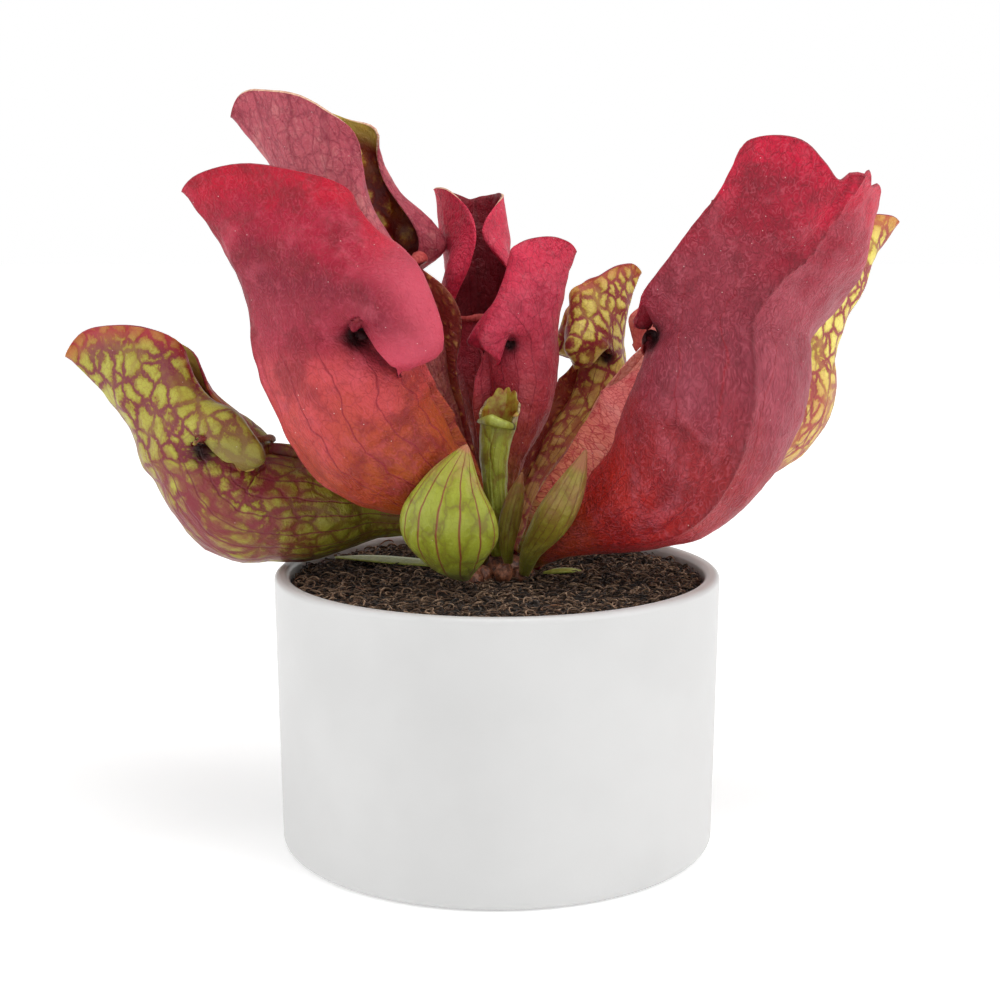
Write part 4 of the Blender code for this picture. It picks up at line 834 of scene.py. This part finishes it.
def makePitcher(name, leaf):
    g, r = pitcherGrid, relief
    near = leaf.get("near", 1)
    corner = np.radians(leaf["corner"])
    columns = np.linspace(-1, 1, 2 * g["hoodColumns"] + 1)
    front = corner + (np.pi - corner) * np.arange(1, g["lipColumns"] + 1) / g["lipColumns"]
    angles = np.concatenate([-front[::-1], corner * columns, front])
    middle = len(angles) // 2
    at = np.linspace(0, 1, g["tubeRows"] + 1)
    length = stemOf(leaf)[2]
    hoodLength = g["hoodReach"] * leaf["hood"]
    total = length + hoodLength

    # tube, hood, rolled edge and lip, each as a grid of points
    tube = stemRings(leaf, at, np.tile(angles, (len(at), 1)))
    axes = [each[0] for each in stemFrames(leaf, np.ones(1))]
    centre, axes = axes[0], axes[1:]
    drop = mouthDrop(leaf, angles)
    tube = tube - (at[:, None] ** 4 * drop)[..., None] * axes[1]
    hooded = slice(g["lipColumns"], g["lipColumns"] + len(columns))
    rows = np.arange(1, g["hoodRows"] + 1) / g["hoodRows"]
    hood = hoodRows(leaf, tube[-1, hooded] + drop[hooded, None] * axes[1], axes, columns, rows)
    hood -= ((1 - rows[:, None]) ** 2 * drop[hooded])[..., None] * axes[1]
    seam = g["seamRows"]
    sheet = smoothed(np.concatenate([tube[-seam - 1:, hooded], hood]), 3)
    tube[-seam:, hooded], hood = sheet[1:seam + 1], domedLobes(leaf, sheet[seam + 1:])
    path, onTop, strip = rolledEdge(leaf, hood)
    order = np.concatenate([np.arange(g["lipColumns"] + len(columns) - 1, len(angles)),
                            np.arange(1, g["lipColumns"] + 1)])
    weight = np.clip((np.abs(angles[order]) - corner) / (np.pi - corner), 0, 1)
    lip = lipRows(leaf, tube[-1, order], centre, axes[1], weight)

    # points, with how far each lies round the leaf in mm, round it from -1 to 1, and up it from 0 to 1
    grids, tags, index, faces, finishes, count = [], [], {}, [], [], 0

    def addGrid(key, grid, x, q, share):
        nonlocal count
        index[key] = count + np.arange(grid.shape[0] * grid.shape[1]).reshape(grid.shape[:2])
        count += index[key].size
        grids.append(grid.reshape(-1, 3))
        spread = [np.broadcast_to(each, grid.shape[:2]).ravel() for each in (x, q, share)]
        tags.append(np.stack(spread, axis=1))

    q = angles / np.pi
    shareHood = (length + rows * hoodLength)[:, None] / total
    roundHood = around(hood, g["hoodColumns"])
    stretch = np.arange(1, g["rollRows"] + 1)[:, None] * g["rollStep"]
    sideways = np.where(onTop, 0, np.sign(path[:, 1] - g["hoodColumns"]))
    addGrid("tube", tube, around(tube, middle), q, (at * length)[:, None] / total)
    addGrid("hood", hood, roundHood, q[hooded], shareHood)
    addGrid("lip", lip, around(tube[-1:], middle)[:, order], q[order], length / total)
    addGrid("roll", strip, roundHood[path[:, 0], path[:, 1]] + stretch * sideways, q[hooded][path[:, 1]],
            shareHood[path[:, 0], 0])

    def addFaces(grid, finish):
        made = gridFaces(grid[:, ::-1])
        faces.append(made)
        finishes.append(np.full(len(made), finish))

    addFaces(index["tube"], 0)
    addFaces(np.concatenate([index["tube"][-1:, hooded], index["hood"]]), 0)
    addFaces(np.concatenate([index["tube"][-1:, order], index["lip"]]), 3)
    addFaces(np.concatenate([index["hood"][path[:, 0], path[:, 1]][None], index["roll"]]), 0)
    points, (x, q, share) = np.concatenate(grids), np.concatenate(tags).T
    mesh = meshFrom(name + "_leaf", points, np.concatenate(faces), np.concatenate(finishes))

    # relief along the normals, which point out of the leaf
    normals = np.empty(len(points) * 3, np.float32)
    mesh.vertices.foreach_get("normal", normals)
    normals = normals.reshape(-1, 3)
    outward = tube[len(at) // 2, middle] - stemFrames(leaf, np.array([0.5]))[0][0]
    if normals[index["tube"][len(at) // 2, middle]] @ outward < 0:
        mesh.flip_normals()
        normals = -normals
    keelAt = np.interp(share, *np.array(leaf.get("keelAt", ((0, 0), (1, 0)))).T)
    offKeel = (x - keelAt) / leaf["keel"][1]
    inHood = np.clip((share * total - length) / hoodLength, 0, 1)
    corners = tube[-1, [g["lipColumns"], g["lipColumns"] + len(columns) - 1]]
    away = np.linalg.norm(points[:, None] - corners, axis=2).min(axis=1)
    points = points + normals * leafRelief(leaf, points, offKeel, q, share, inHood, away)[:, None]
    mesh.vertices.foreach_set("co", (points * mm).astype(np.float32).ravel())

    # tags for the paints: grain in mm along the leaf's own axes, place on the leaf with painted shade in the
    # pits, and the keel with painted light on one side of it
    grain = (points - centre) @ np.array(axes).T[:, [0, 2, 1]] + (0, 0, length)
    tubeFrames = stemFrames(leaf, at)
    inTube = index["tube"].ravel()
    fromStem = (tube - tubeFrames[0][:, None]).reshape(-1, 3)
    for place, way in ((0, tubeFrames[1]), (1, tubeFrames[3])):
        grain[inTube, place] = (fromStem * np.repeat(way, len(angles), axis=0)).sum(axis=1)
    grain[inTube, 2] = np.repeat(at * length, len(angles))
    # painted shade in the pits at the mouth's corners, carried to the paints as place's third value
    reach = r["pitReach"] * min(1, leaf["hood"] / r["fullHood"])
    pitShadeStrength, wider = r["pitShade"]
    pit = np.clip(pitShadeStrength * np.exp(-(away / reach / wider) ** 2), 0, 1)
    # painted light: the leaf is paled on its lit side of the keel
    beside = 1 / (1 + np.exp(-(offKeel * -near - 1) * r["litStripSoft"])) * leaf.get("strip", 0)
    beside *= np.interp(share, *r["litStripFade"])
    crest = np.exp(-(offKeel / r["crestWidth"]) ** 2) * np.clip((share - r["crestFrom"]) * 5, 0, 1)
    tagPoints(mesh, "grain", grain)
    tagPoints(mesh, "keel", np.stack([crest, beside, 0 * q], axis=1))
    tagPoints(mesh, "place", np.stack([q, share, pit], axis=1))

    finishes = [paints[leaf[each]] for each in ("outside", "inside", "rim", "outside", "lip")]
    piece = addPiece(name + "_leaf", mesh, finishes, [name])
    wall = piece.modifiers.new("wall", "SOLIDIFY")
    wall.thickness = g["wall"] * mm
    wall.offset = -1
    wall.material_offset = 1
    wall.material_offset_rim = 2


def makeWing(name, leaf):
    # the thin blade down the front of the tube, a little wavy along its edge
    w = wingShape
    at = np.linspace(w["start"], w["end"], w["rows"] + 1)
    across = np.linspace(w["inTube"], 1, w["columns"] + 1)
    _, keys, length = stemOf(leaf)
    _, back, _, side = stemFrames(leaf, at)
    root = stemRings(leaf, at, np.full((len(at), 1), np.pi))[:, 0]
    root = root - at[:, None] ** 4 * mouthDrop(leaf, np.pi) * stemFrames(leaf, np.ones(1))[2]
    turn = np.radians(leaf.get("turn", 0))
    width = np.maximum(spline(keys, leaf["wing"], at), 0.3)[:, None]
    out = side * np.sin(turn) - back * np.cos(turn)
    flat = side * np.cos(turn) + back * np.sin(turn)
    wave = w["wave"] * np.sin(at[:, None] * w["waves"] + 1) * np.clip(width / 5, 0, 1)
    thick = w["thick"] - w["thinned"] * np.clip(across, 0, 1)
    sheet = root[:, None] + out[:, None] * (across * width)[..., None]
    bend = (wave * np.clip(across, 0, 1) ** 2)[..., None]
    sides = [sheet + flat[:, None] * (bend + sign * thick[None, :, None]) for sign in (1, -1)]
    points = np.concatenate([sides[0], sides[1][:, ::-1]], axis=1)
    index, ring = closedRings(points)
    mesh = meshFrom(name + "_wing", points.reshape(-1, 3), [*gridFaces(ring), index[0], index[-1]])
    x = np.concatenate([across, across[::-1]])[None] * width
    y = np.broadcast_to((at * length)[:, None], x.shape)
    half = np.pi * spline(keys, leaf["girth"], at).mean(axis=1)[:, None]
    total = length + pitcherGrid["hoodReach"] * leaf["hood"]
    tagPoints(mesh, "grain", np.stack([(half + x).ravel(), 0 * y.ravel(), y.ravel()], axis=1))
    tagPoints(mesh, "place", np.stack([(1 - x / 40).ravel(), y.ravel() / total, 0 * y.ravel()], axis=1))
    facesOutward(mesh)
    addPiece(name + "_wing", mesh, [paints[leaf["blade"]]])


for pitcherName, pitcherLeaf in pitchers.items():
    makePitcher(pitcherName, pitcherLeaf)
    makeWing(pitcherName, pitcherLeaf)
print("pitchers:", len(pitchers))


# young leaves that are still closed, and leaves on the soil

buds = {
    "young_pitcher_round": dict(
        root=(240, 25, 3), azimuth=(250, 262), ridge=0.05, paint="freshNet",
        spine=((-9.4, -18, 77.5), (-11.2, -25, 83), (-12.1, -30, 89.5), (-11.9, -32.5, 96),
               (-10.9, -32.5, 102.7), (-7.5, -31, 113)),
        girth=((1.6, 1.6), (2.4, 3.5), (5, 8.5), (5.9, 12.6), (5.6, 12), (4.1, 8), (0.3, 0.4))),
    "young_pitcher_slender": dict(
        root=(300, 30, 4), azimuth=(310, 300), ridge=0.2, paint="slimNet",
        spine=((9.4, -16.5, 83.4), (15, -23, 93.3), (19, -27, 101.8), (22.6, -30, 111.5)),
        girth=((1.5, 1.6), (2.6, 3.2), (4.4, 5.4), (3.2, 4), (0.3, 0.3))),
    "young_pitcher_bud": dict(
        root=(285, 45), azimuth=(280, 280), ridge=0.1, paint="slimNet",
        spine=((2.6, -7.4, 82), (3.2, -8.2, 88), (4.9, -8.4, 95.6), (6.7, -8, 102.3)),
        girth=((1.3, 1.3), (1.8, 2), (2, 2.9), (1.8, 2.4), (0.3, 0.3))),
    "ground_leaf_left": dict(
        root=(158, 9), azimuth=(160, 160), ridge=0.2, paint="stalk",
        spine=((-16, 9, 73.8), (-27, 14, 73.9), (-38, 18, 73.9), (-46, 20, 73.6)),
        girth=((0.6, 0.9), (0.6, 3), (0.6, 4.5), (0.5, 3.5), (0.3, 0.4))),
    "ground_leaf_right": dict(
        azimuth=(20, 20), ridge=0.2, paint="stalk",
        spine=((12.5, 0, 73.2), (16.5, 1, 73.7), (20, 2, 73.6), (23, 2.8, 73.2)),
        girth=((0.4, 0.6), (0.6, 2.4), (0.6, 2.2), (0.3, 0.4))),
}


budGrid = dict(columns=72, rows=64, ridgeWidth=0.35, seam=0.05, seamWidth=0.08)


def makeBud(name, leaf):
    # a closed leaf: rings that end in one point, a little ridged, with a seam down the front
    g = budGrid
    columns = g["columns"]
    points, _, length = stemOf(leaf)
    at = np.linspace(0, 1, g["rows"] + 1)[:-1]
    angles = np.arange(columns) * 2 * np.pi / columns
    rings = stemRings(leaf, at, np.tile(angles, (len(at), 1)))
    middle = stemFrames(leaf, at)[0][:, None]
    ridge = 1 + leaf["ridge"] * np.exp(-(np.sin(angles) / g["ridgeWidth"]) ** 2)
    seam = g["seam"] * np.exp(-(np.sin(angles) / g["seamWidth"]) ** 2) * (np.cos(angles) < 0)
    rings = middle + (rings - middle) * (ridge + seam)[:, None]
    index, ring = closedRings(rings)
    tip = [(index[-1][k], ring[-1][k + 1], index.size) for k in range(columns)]
    flat = np.concatenate([rings.reshape(-1, 3), points[-1:]])
    mesh = meshFrom(name + "_leaf", flat, [*gridFaces(ring), index[0][::-1], *tip])
    _, back, _, side = stemFrames(leaf, at)
    q = np.broadcast_to((angles + np.pi) % (2 * np.pi) / np.pi - 1, index.shape)
    y = np.broadcast_to((at * length)[:, None], index.shape)
    fromStem = [((rings - middle) * way[:, None]).sum(axis=2).ravel() for way in (back, side)]
    grain = np.stack([*fromStem, y.ravel()], axis=1)
    place = np.stack([q.ravel(), y.ravel() / length, 0 * y.ravel()], axis=1)
    tagPoints(mesh, "grain", np.concatenate([grain, [(0, 0, length)]]))
    tagPoints(mesh, "place", np.concatenate([place, [(0, 1, 0)]]))
    facesOutward(mesh)
    addPiece(name + "_leaf", mesh, [paints[leaf["paint"]]], [name])


for budName, budLeaf in buds.items():
    makeBud(budName, budLeaf)
print("young leaves:", len(buds))


# crown: knobbly rhizome with old leaf bases

def makeCrown():
    paint = Paint("rhizome_brown", Roughness=0.5, Coat_Weight=0.2, Coat_Roughness=0.3)
    spot = paint.add("ShaderNodeTexCoord").outputs["Object"]
    lumps = paint.noise(spot, crown["grain"], 4.0, 0.6)
    colour = paint.mix(paint.step(lumps, *crown["tones"]), crown["low"], crown["high"])
    scales = paint.step(paint.cells(spot, crown["cells"]), 0.0, crown["crackWidth"], (0.6, 0.0))
    colour = paint.mix(scales, colour, crown["crack"])
    finish = paint.finish(colour, lumps, crown["bump"])
    made = bmesh.new()
    for number, (centre, size) in enumerate(crown["lobes"]):
        size = size if number else crown["core"]  # the middle lobe is a little smaller here
        ball = bmesh.ops.create_icosphere(made, subdivisions=4, radius=1)
        for vertex in ball["verts"]:
            way = np.array(vertex.co)
            lump = 1 + crown["lump"] * waves(way[None], crown["seed"] + number, crown["lumpSize"])[0]
            vertex.co = Vector((np.array(centre) + way * size * lump) * mm)
    mesh = bpy.data.meshes.new("crown_rhizome")
    made.to_mesh(mesh)
    made.free()
    addPiece("crown_rhizome", mesh, [finish], ["crown"])


makeCrown()


# soil: dark peat with crumbs and light brown fibres

soil = dict(
    radius=55.6, level=72.0, dip=1.2, lumps=0.6, depth=66.7, rings=70, steps=220, seed=11,
    humps=((0.45, 21, 5.0), (0.3, 22, 2.2)), sunk=0.2,         # each hump: height, seed, size
    spread=(0.02, 0.97), crumbs=1800, crumbSize=(0.35, 1.25), crumbSquash=(0.6, 1.2), crumbUneven=(0.7, 1.25),
    brownCrumbs=0.3, edge=0.5, sink=0.3, ringPower=0.8, grain=420.0, tones=(0.35, 0.68), bump=0.6,
    fibres=dict(count=5200, length=(1.8, 5.2), thick=(0.15, 0.32), lift=0.55),
    straws=dict(count=16, length=(4, 9), thick=(0.16, 0.28), lift=1.0),
    bend=(1.2, 4.2), tilt=(-0.2, 1.0), taper=(0.4, 0.9, 1, 1, 0.8, 0.3), corners=(0.5, 2.6, 4.7),
    peat=dict(dark=((0.008, 0.004, 0.002), (0.045, 0.022, 0.012)),
              brown=((0.036, 0.016, 0.007), (0.15, 0.075, 0.036)),
              tan=((0.15, 0.08, 0.04), (0.42, 0.27, 0.17)),
              straw=((0.16, 0.06, 0.03), (0.34, 0.16, 0.08))))


def soilHeight(x, y):
    lumps = np.sin(0.31 * x + 1) * np.cos(0.27 * y) + 0.6 * np.sin(0.53 * y - 0.4 * x)
    radius = np.hypot(x, y) / soil["radius"]
    return soil["level"] - soil["dip"] * radius**4 + soil["lumps"] * lumps * radius * (1 - radius**6)


def peatPaint(name, low, high):
    paint = Paint(name, Roughness=0.85, Sheen_Weight=0.1)
    spot = paint.add("ShaderNodeTexCoord").outputs["Object"]
    lumps = paint.noise(spot, soil["grain"], 5.0, 0.65)
    colour = paint.mix(paint.step(lumps, *soil["tones"]), low, high)
    return paint.finish(colour, lumps, soil["bump"])


def scattered(rng, count):
    away = soil["radius"] * np.sqrt(rng.uniform(*soil["spread"], count))
    angle = rng.uniform(0, 2 * np.pi, count)
    x, y = away * np.cos(angle), away * np.sin(angle)
    return np.stack([x, y, soilHeight(x, y)], axis=1)


def makeThreads(name, rng, finishes, count, length, thick, lift):
    # short curved threads that lie over the crumbs
    start = scattered(rng, count)
    heading = rng.uniform(0, 2 * np.pi, count)
    bend = rng.uniform(*soil["bend"], count) * rng.choice((-1, 1), count)
    tilt = rng.uniform(*soil["tilt"], count)
    reach = rng.uniform(*length, count)
    width = rng.uniform(*thick, count)
    at = np.linspace(0, 1, len(soil["taper"]))
    way = heading[:, None] + bend[:, None] * at
    run = np.stack([np.cos(way), np.sin(way), tilt[:, None] * (1 - 2 * at)], axis=-1)
    line = start[:, None] + np.cumsum(run * reach[:, None, None] / (len(at) - 1), axis=1)
    away = np.hypot(line[..., 0], line[..., 1])
    line[..., :2] *= np.minimum(1, (soil["radius"] - soil["edge"]) / away)[..., None]
    line[..., 2] = np.maximum(line[..., 2], soilHeight(line[..., 0], line[..., 1]) - soil["sink"]) + lift
    across = np.stack([-np.sin(way), np.cos(way), 0 * way], axis=-1)
    up = np.array((0, 0, 1.0))
    taper = (width[:, None] * np.array(soil["taper"]))[..., None]
    points = np.stack([line + taper * (across * np.cos(a) + up * np.sin(a)) for a in soil["corners"]], axis=2)
    index = np.arange(points[..., 0].size).reshape(points.shape[:3])
    ring = np.concatenate([index, index[:, :, :1]], axis=2)
    quads = np.stack([ring[:, :-1, :-1], ring[:, :-1, 1:], ring[:, 1:, 1:], ring[:, 1:, :-1]], axis=-1)
    tone = rng.integers(0, len(finishes), count)
    tones = np.concatenate([np.repeat(tone, (len(at) - 1) * len(soil["corners"])), tone, tone])
    faces = [*quads.reshape(-1, 4), *index[:, 0, ::-1], *index[:, -1]]
    addPiece(name, meshFrom(name, points.reshape(-1, 3), faces, tones), finishes)


def makeSoil():
    rng = np.random.default_rng(soil["seed"])
    turn = np.arange(soil["steps"]) * 2 * np.pi / soil["steps"]
    radii = soil["radius"] * (np.arange(1, soil["rings"] + 1) / soil["rings"]) ** soil["ringPower"]
    x, y = radii[:, None] * np.cos(turn), radii[:, None] * np.sin(turn)
    z = soilHeight(x, y)
    for height, seed, size in soil["humps"]:
        z = z + height * waves(np.stack([x, y], axis=-1), seed, size, 12)
    top = np.stack([x, y, z - soil["sunk"]], axis=-1)
    low = top[-1:].copy()
    low[..., 2] = soil["level"] - soil["depth"]
    rings = np.concatenate([top, low])
    index, ring = closedRings(rings)
    mesh = meshFrom("soil_bed", rings.reshape(-1, 3), [*gridFaces(ring), index[0][::-1], index[-1]])
    dark, brown, tan, straw = [peatPaint("peat_" + tone, *shades) for tone, shades in soil["peat"].items()]
    addPiece("soil_bed", mesh, [dark], ["soil"])

    # crumbs: little uneven lumps
    ball = bmesh.new()
    bmesh.ops.create_icosphere(ball, subdivisions=1, radius=1)
    shape = np.array([v.co for v in ball.verts])
    sides = np.array([[v.index for v in f.verts] for f in ball.faces])
    ball.free()
    count = soil["crumbs"]
    centres = scattered(rng, count)
    sizes = rng.uniform(*soil["crumbSize"], (count, 1, 1)) * rng.uniform(*soil["crumbSquash"], (count, 1, 3))
    uneven = rng.uniform(*soil["crumbUneven"], (count, len(shape), 1))
    points = centres[:, None] + shape[None] * sizes * uneven
    faces = (sides[None] + (np.arange(count) * len(shape))[:, None, None]).reshape(-1, 3)
    tone = np.repeat((rng.random(count) < soil["brownCrumbs"]).astype(int), len(sides))
    mesh = meshFrom("soil_crumbs", points.reshape(-1, 3), faces, tone)
    addPiece("soil_crumbs", mesh, [dark, brown])

    makeThreads("soil_fibres", rng, [dark, brown, brown, tan, tan], **soil["fibres"])
    makeThreads("soil_straws", rng, [straw], **soil["straws"])


makeSoil()
print("soil done")


# pot: plain white glazed cylinder

pot = dict(
    height=74.6, rim=60.0, base=58.9, wall=4.0, floor=5.0, rimRound=1.6, footRound=2.5, innerRound=4.0,
    arc=12, innerArc=8, steps=256, draft=0.2, underside=(20, 0.02), middle=0.01, bodyAt=0.8, innerAt=0.7,
    glaze=(0.56, 0.56, 0.555), cloud=(0.60, 0.60, 0.595), cloudScale=22.0, clouds=(0.3, 0.7),
    peelScale=900.0, peel=0.02)


def arcPoints(centre, radius, start, end, count):
    angles = np.radians(np.linspace(start, end, count))
    return [(centre[0] + radius * np.cos(a), centre[1] + radius * np.sin(a)) for a in angles]


def makePot():
    # a closed profile turned about the pot's axis, from the rim down the outside and up the inside
    p = pot
    outer, inner = p["rim"], p["rim"] - p["wall"]
    rimAt = p["height"] - p["rimRound"]
    hollow, corner = p["innerRound"], (inner - p["innerRound"], p["floor"] + p["innerRound"])
    profile = [
        *arcPoints((outer - p["rimRound"], rimAt), p["rimRound"], 90, 0, p["arc"]),
        (outer - p["draft"], p["height"] * p["bodyAt"]), ((outer + p["base"]) / 2, p["height"] / 2),
        *arcPoints((p["base"] - p["footRound"], p["footRound"]), p["footRound"], 0, -90, p["arc"]),
        p["underside"], (p["middle"], p["underside"][1]), (p["middle"], p["floor"]),
        *arcPoints(corner, hollow, -90, 0, p["innerArc"]),
        (inner, p["height"] * p["innerAt"]),
        *arcPoints((inner + p["rimRound"], rimAt), p["rimRound"], 180, 90, p["arc"])]
    r, z = np.array(profile).T[:, :, None]
    turn = np.arange(p["steps"]) * 2 * np.pi / p["steps"]
    points = np.stack([r * np.cos(turn), r * np.sin(turn), z + 0 * turn], axis=-1)
    _, ring = closedRings(points)
    mesh = meshFrom("pot_glazed", points.reshape(-1, 3), gridFaces(np.concatenate([ring, ring[:1]])))
    facesOutward(mesh)
    paint = Paint("white_satin_glaze", Roughness=0.42, Coat_Weight=0.25, Coat_Roughness=0.22)
    spot = paint.add("ShaderNodeTexCoord").outputs["Object"]
    cloud = paint.step(paint.noise(spot, p["cloudScale"], 3.0), *p["clouds"])
    colour = paint.mix(cloud, p["glaze"], p["cloud"])
    orangePeel = paint.noise(spot, p["peelScale"], 2.0)
    addPiece("pot_glazed", mesh, [paint.finish(colour, orangePeel, p["peel"])], ["pot"])


makePot()
print("pot done")


# stage: pale floor, soft light and the camera

stage = dict(
    floor=(0.92, 0.92, 0.92), left=-3000, right=3000, front=-1500, behind=4000,
    glowReach=(0.12, 0.9), floorGlow=(0.26, 0.62), worldPower=1.0,
    sky=((0.0, 1.0), (0.12, 1.0), (0.38, 0.38), (1.0, 0.34)),
    lamps=(("right", (0.85, -0.38, 0.65), 1.0, 6.4), ("left", (-0.9, -0.32, 0.5), 1.0, 4.6),
           ("top", (0.05, -0.1, 0.95), 0.6, 3.2)),
    lampsAim=(0, 0, 0.1), lens=66.17, sensor=36, camera=(0.0008, -0.4887, 0.1759), tilt=9.58)


def makeFloor():
    x, y = (stage["left"], stage["right"]), (stage["front"], stage["behind"])
    corners = [(x[0], y[0], 0), (x[1], y[0], 0), (x[1], y[1], 0), (x[0], y[1], 0)]
    mesh = meshFrom("floor", corners, [(0, 1, 2, 3)])
    paint = Paint("pale_floor", Roughness=0.9, Specular_IOR_Level=0.1, Emission_Color=(1, 1, 1, 1))
    place = paint.add("ShaderNodeNewGeometry").outputs["Position"]
    away = paint.add("ShaderNodeVectorMath", place, operation="LENGTH").outputs["Value"]
    glow = paint.step(away, *stage["glowReach"], stage["floorGlow"])  # paler away from the pot
    paint.plug(paint.shader.inputs["Emission Strength"], glow)
    mesh.materials.append(paint.finish((*stage["floor"], 1)))
    floor = bpy.data.objects.new("floor", mesh)
    bpy.context.scene.collection.objects.link(floor)


def makeSky():
    # white at the horizon, and greyer overhead
    world = bpy.context.scene.world or bpy.data.worlds.new("studio")
    bpy.context.scene.world = world
    world.use_nodes = True
    tree = world.node_tree
    sky = tree.nodes["Background"]
    way = tree.nodes.new("ShaderNodeSeparateXYZ")
    tree.links.new(tree.nodes.new("ShaderNodeTexCoord").outputs["Generated"], way.inputs[0])
    fade = tree.nodes.new("ShaderNodeValToRGB")
    fillRamp(fade, [(place, (level, level, level)) for place, level in stage["sky"]])
    tree.links.new(way.outputs[2], fade.inputs[0])
    tree.links.new(fade.outputs[0], sky.inputs["Color"])
    sky.inputs["Strength"].default_value = stage["worldPower"]


def makeLamps():
    for name, place, size, power in stage["lamps"]:
        lamp = bpy.data.lights.new(name, "AREA")
        lamp.size = size
        lamp.energy = power
        holder = bpy.data.objects.new(name, lamp)
        holder.location = place
        way = Vector(stage["lampsAim"]) - Vector(place)
        holder.rotation_euler = way.to_track_quat("-Z", "Y").to_euler()
        bpy.context.scene.collection.objects.link(holder)


def makeCamera():
    lens = bpy.data.cameras.new("camera")
    lens.lens = stage["lens"]
    lens.sensor_width = stage["sensor"]
    lens.clip_start = 0.01
    bpy.context.scene.view_settings.view_transform = "Standard"
    camera = bpy.data.objects.new("camera", lens)
    camera.location = stage["camera"]
    camera.rotation_euler = Euler((np.radians(90 - stage["tilt"]), 0, 0))
    bpy.context.scene.collection.objects.link(camera)
    bpy.context.scene.camera = camera


makeFloor()
makeSky()
makeLamps()
makeCamera()
print("stage done")
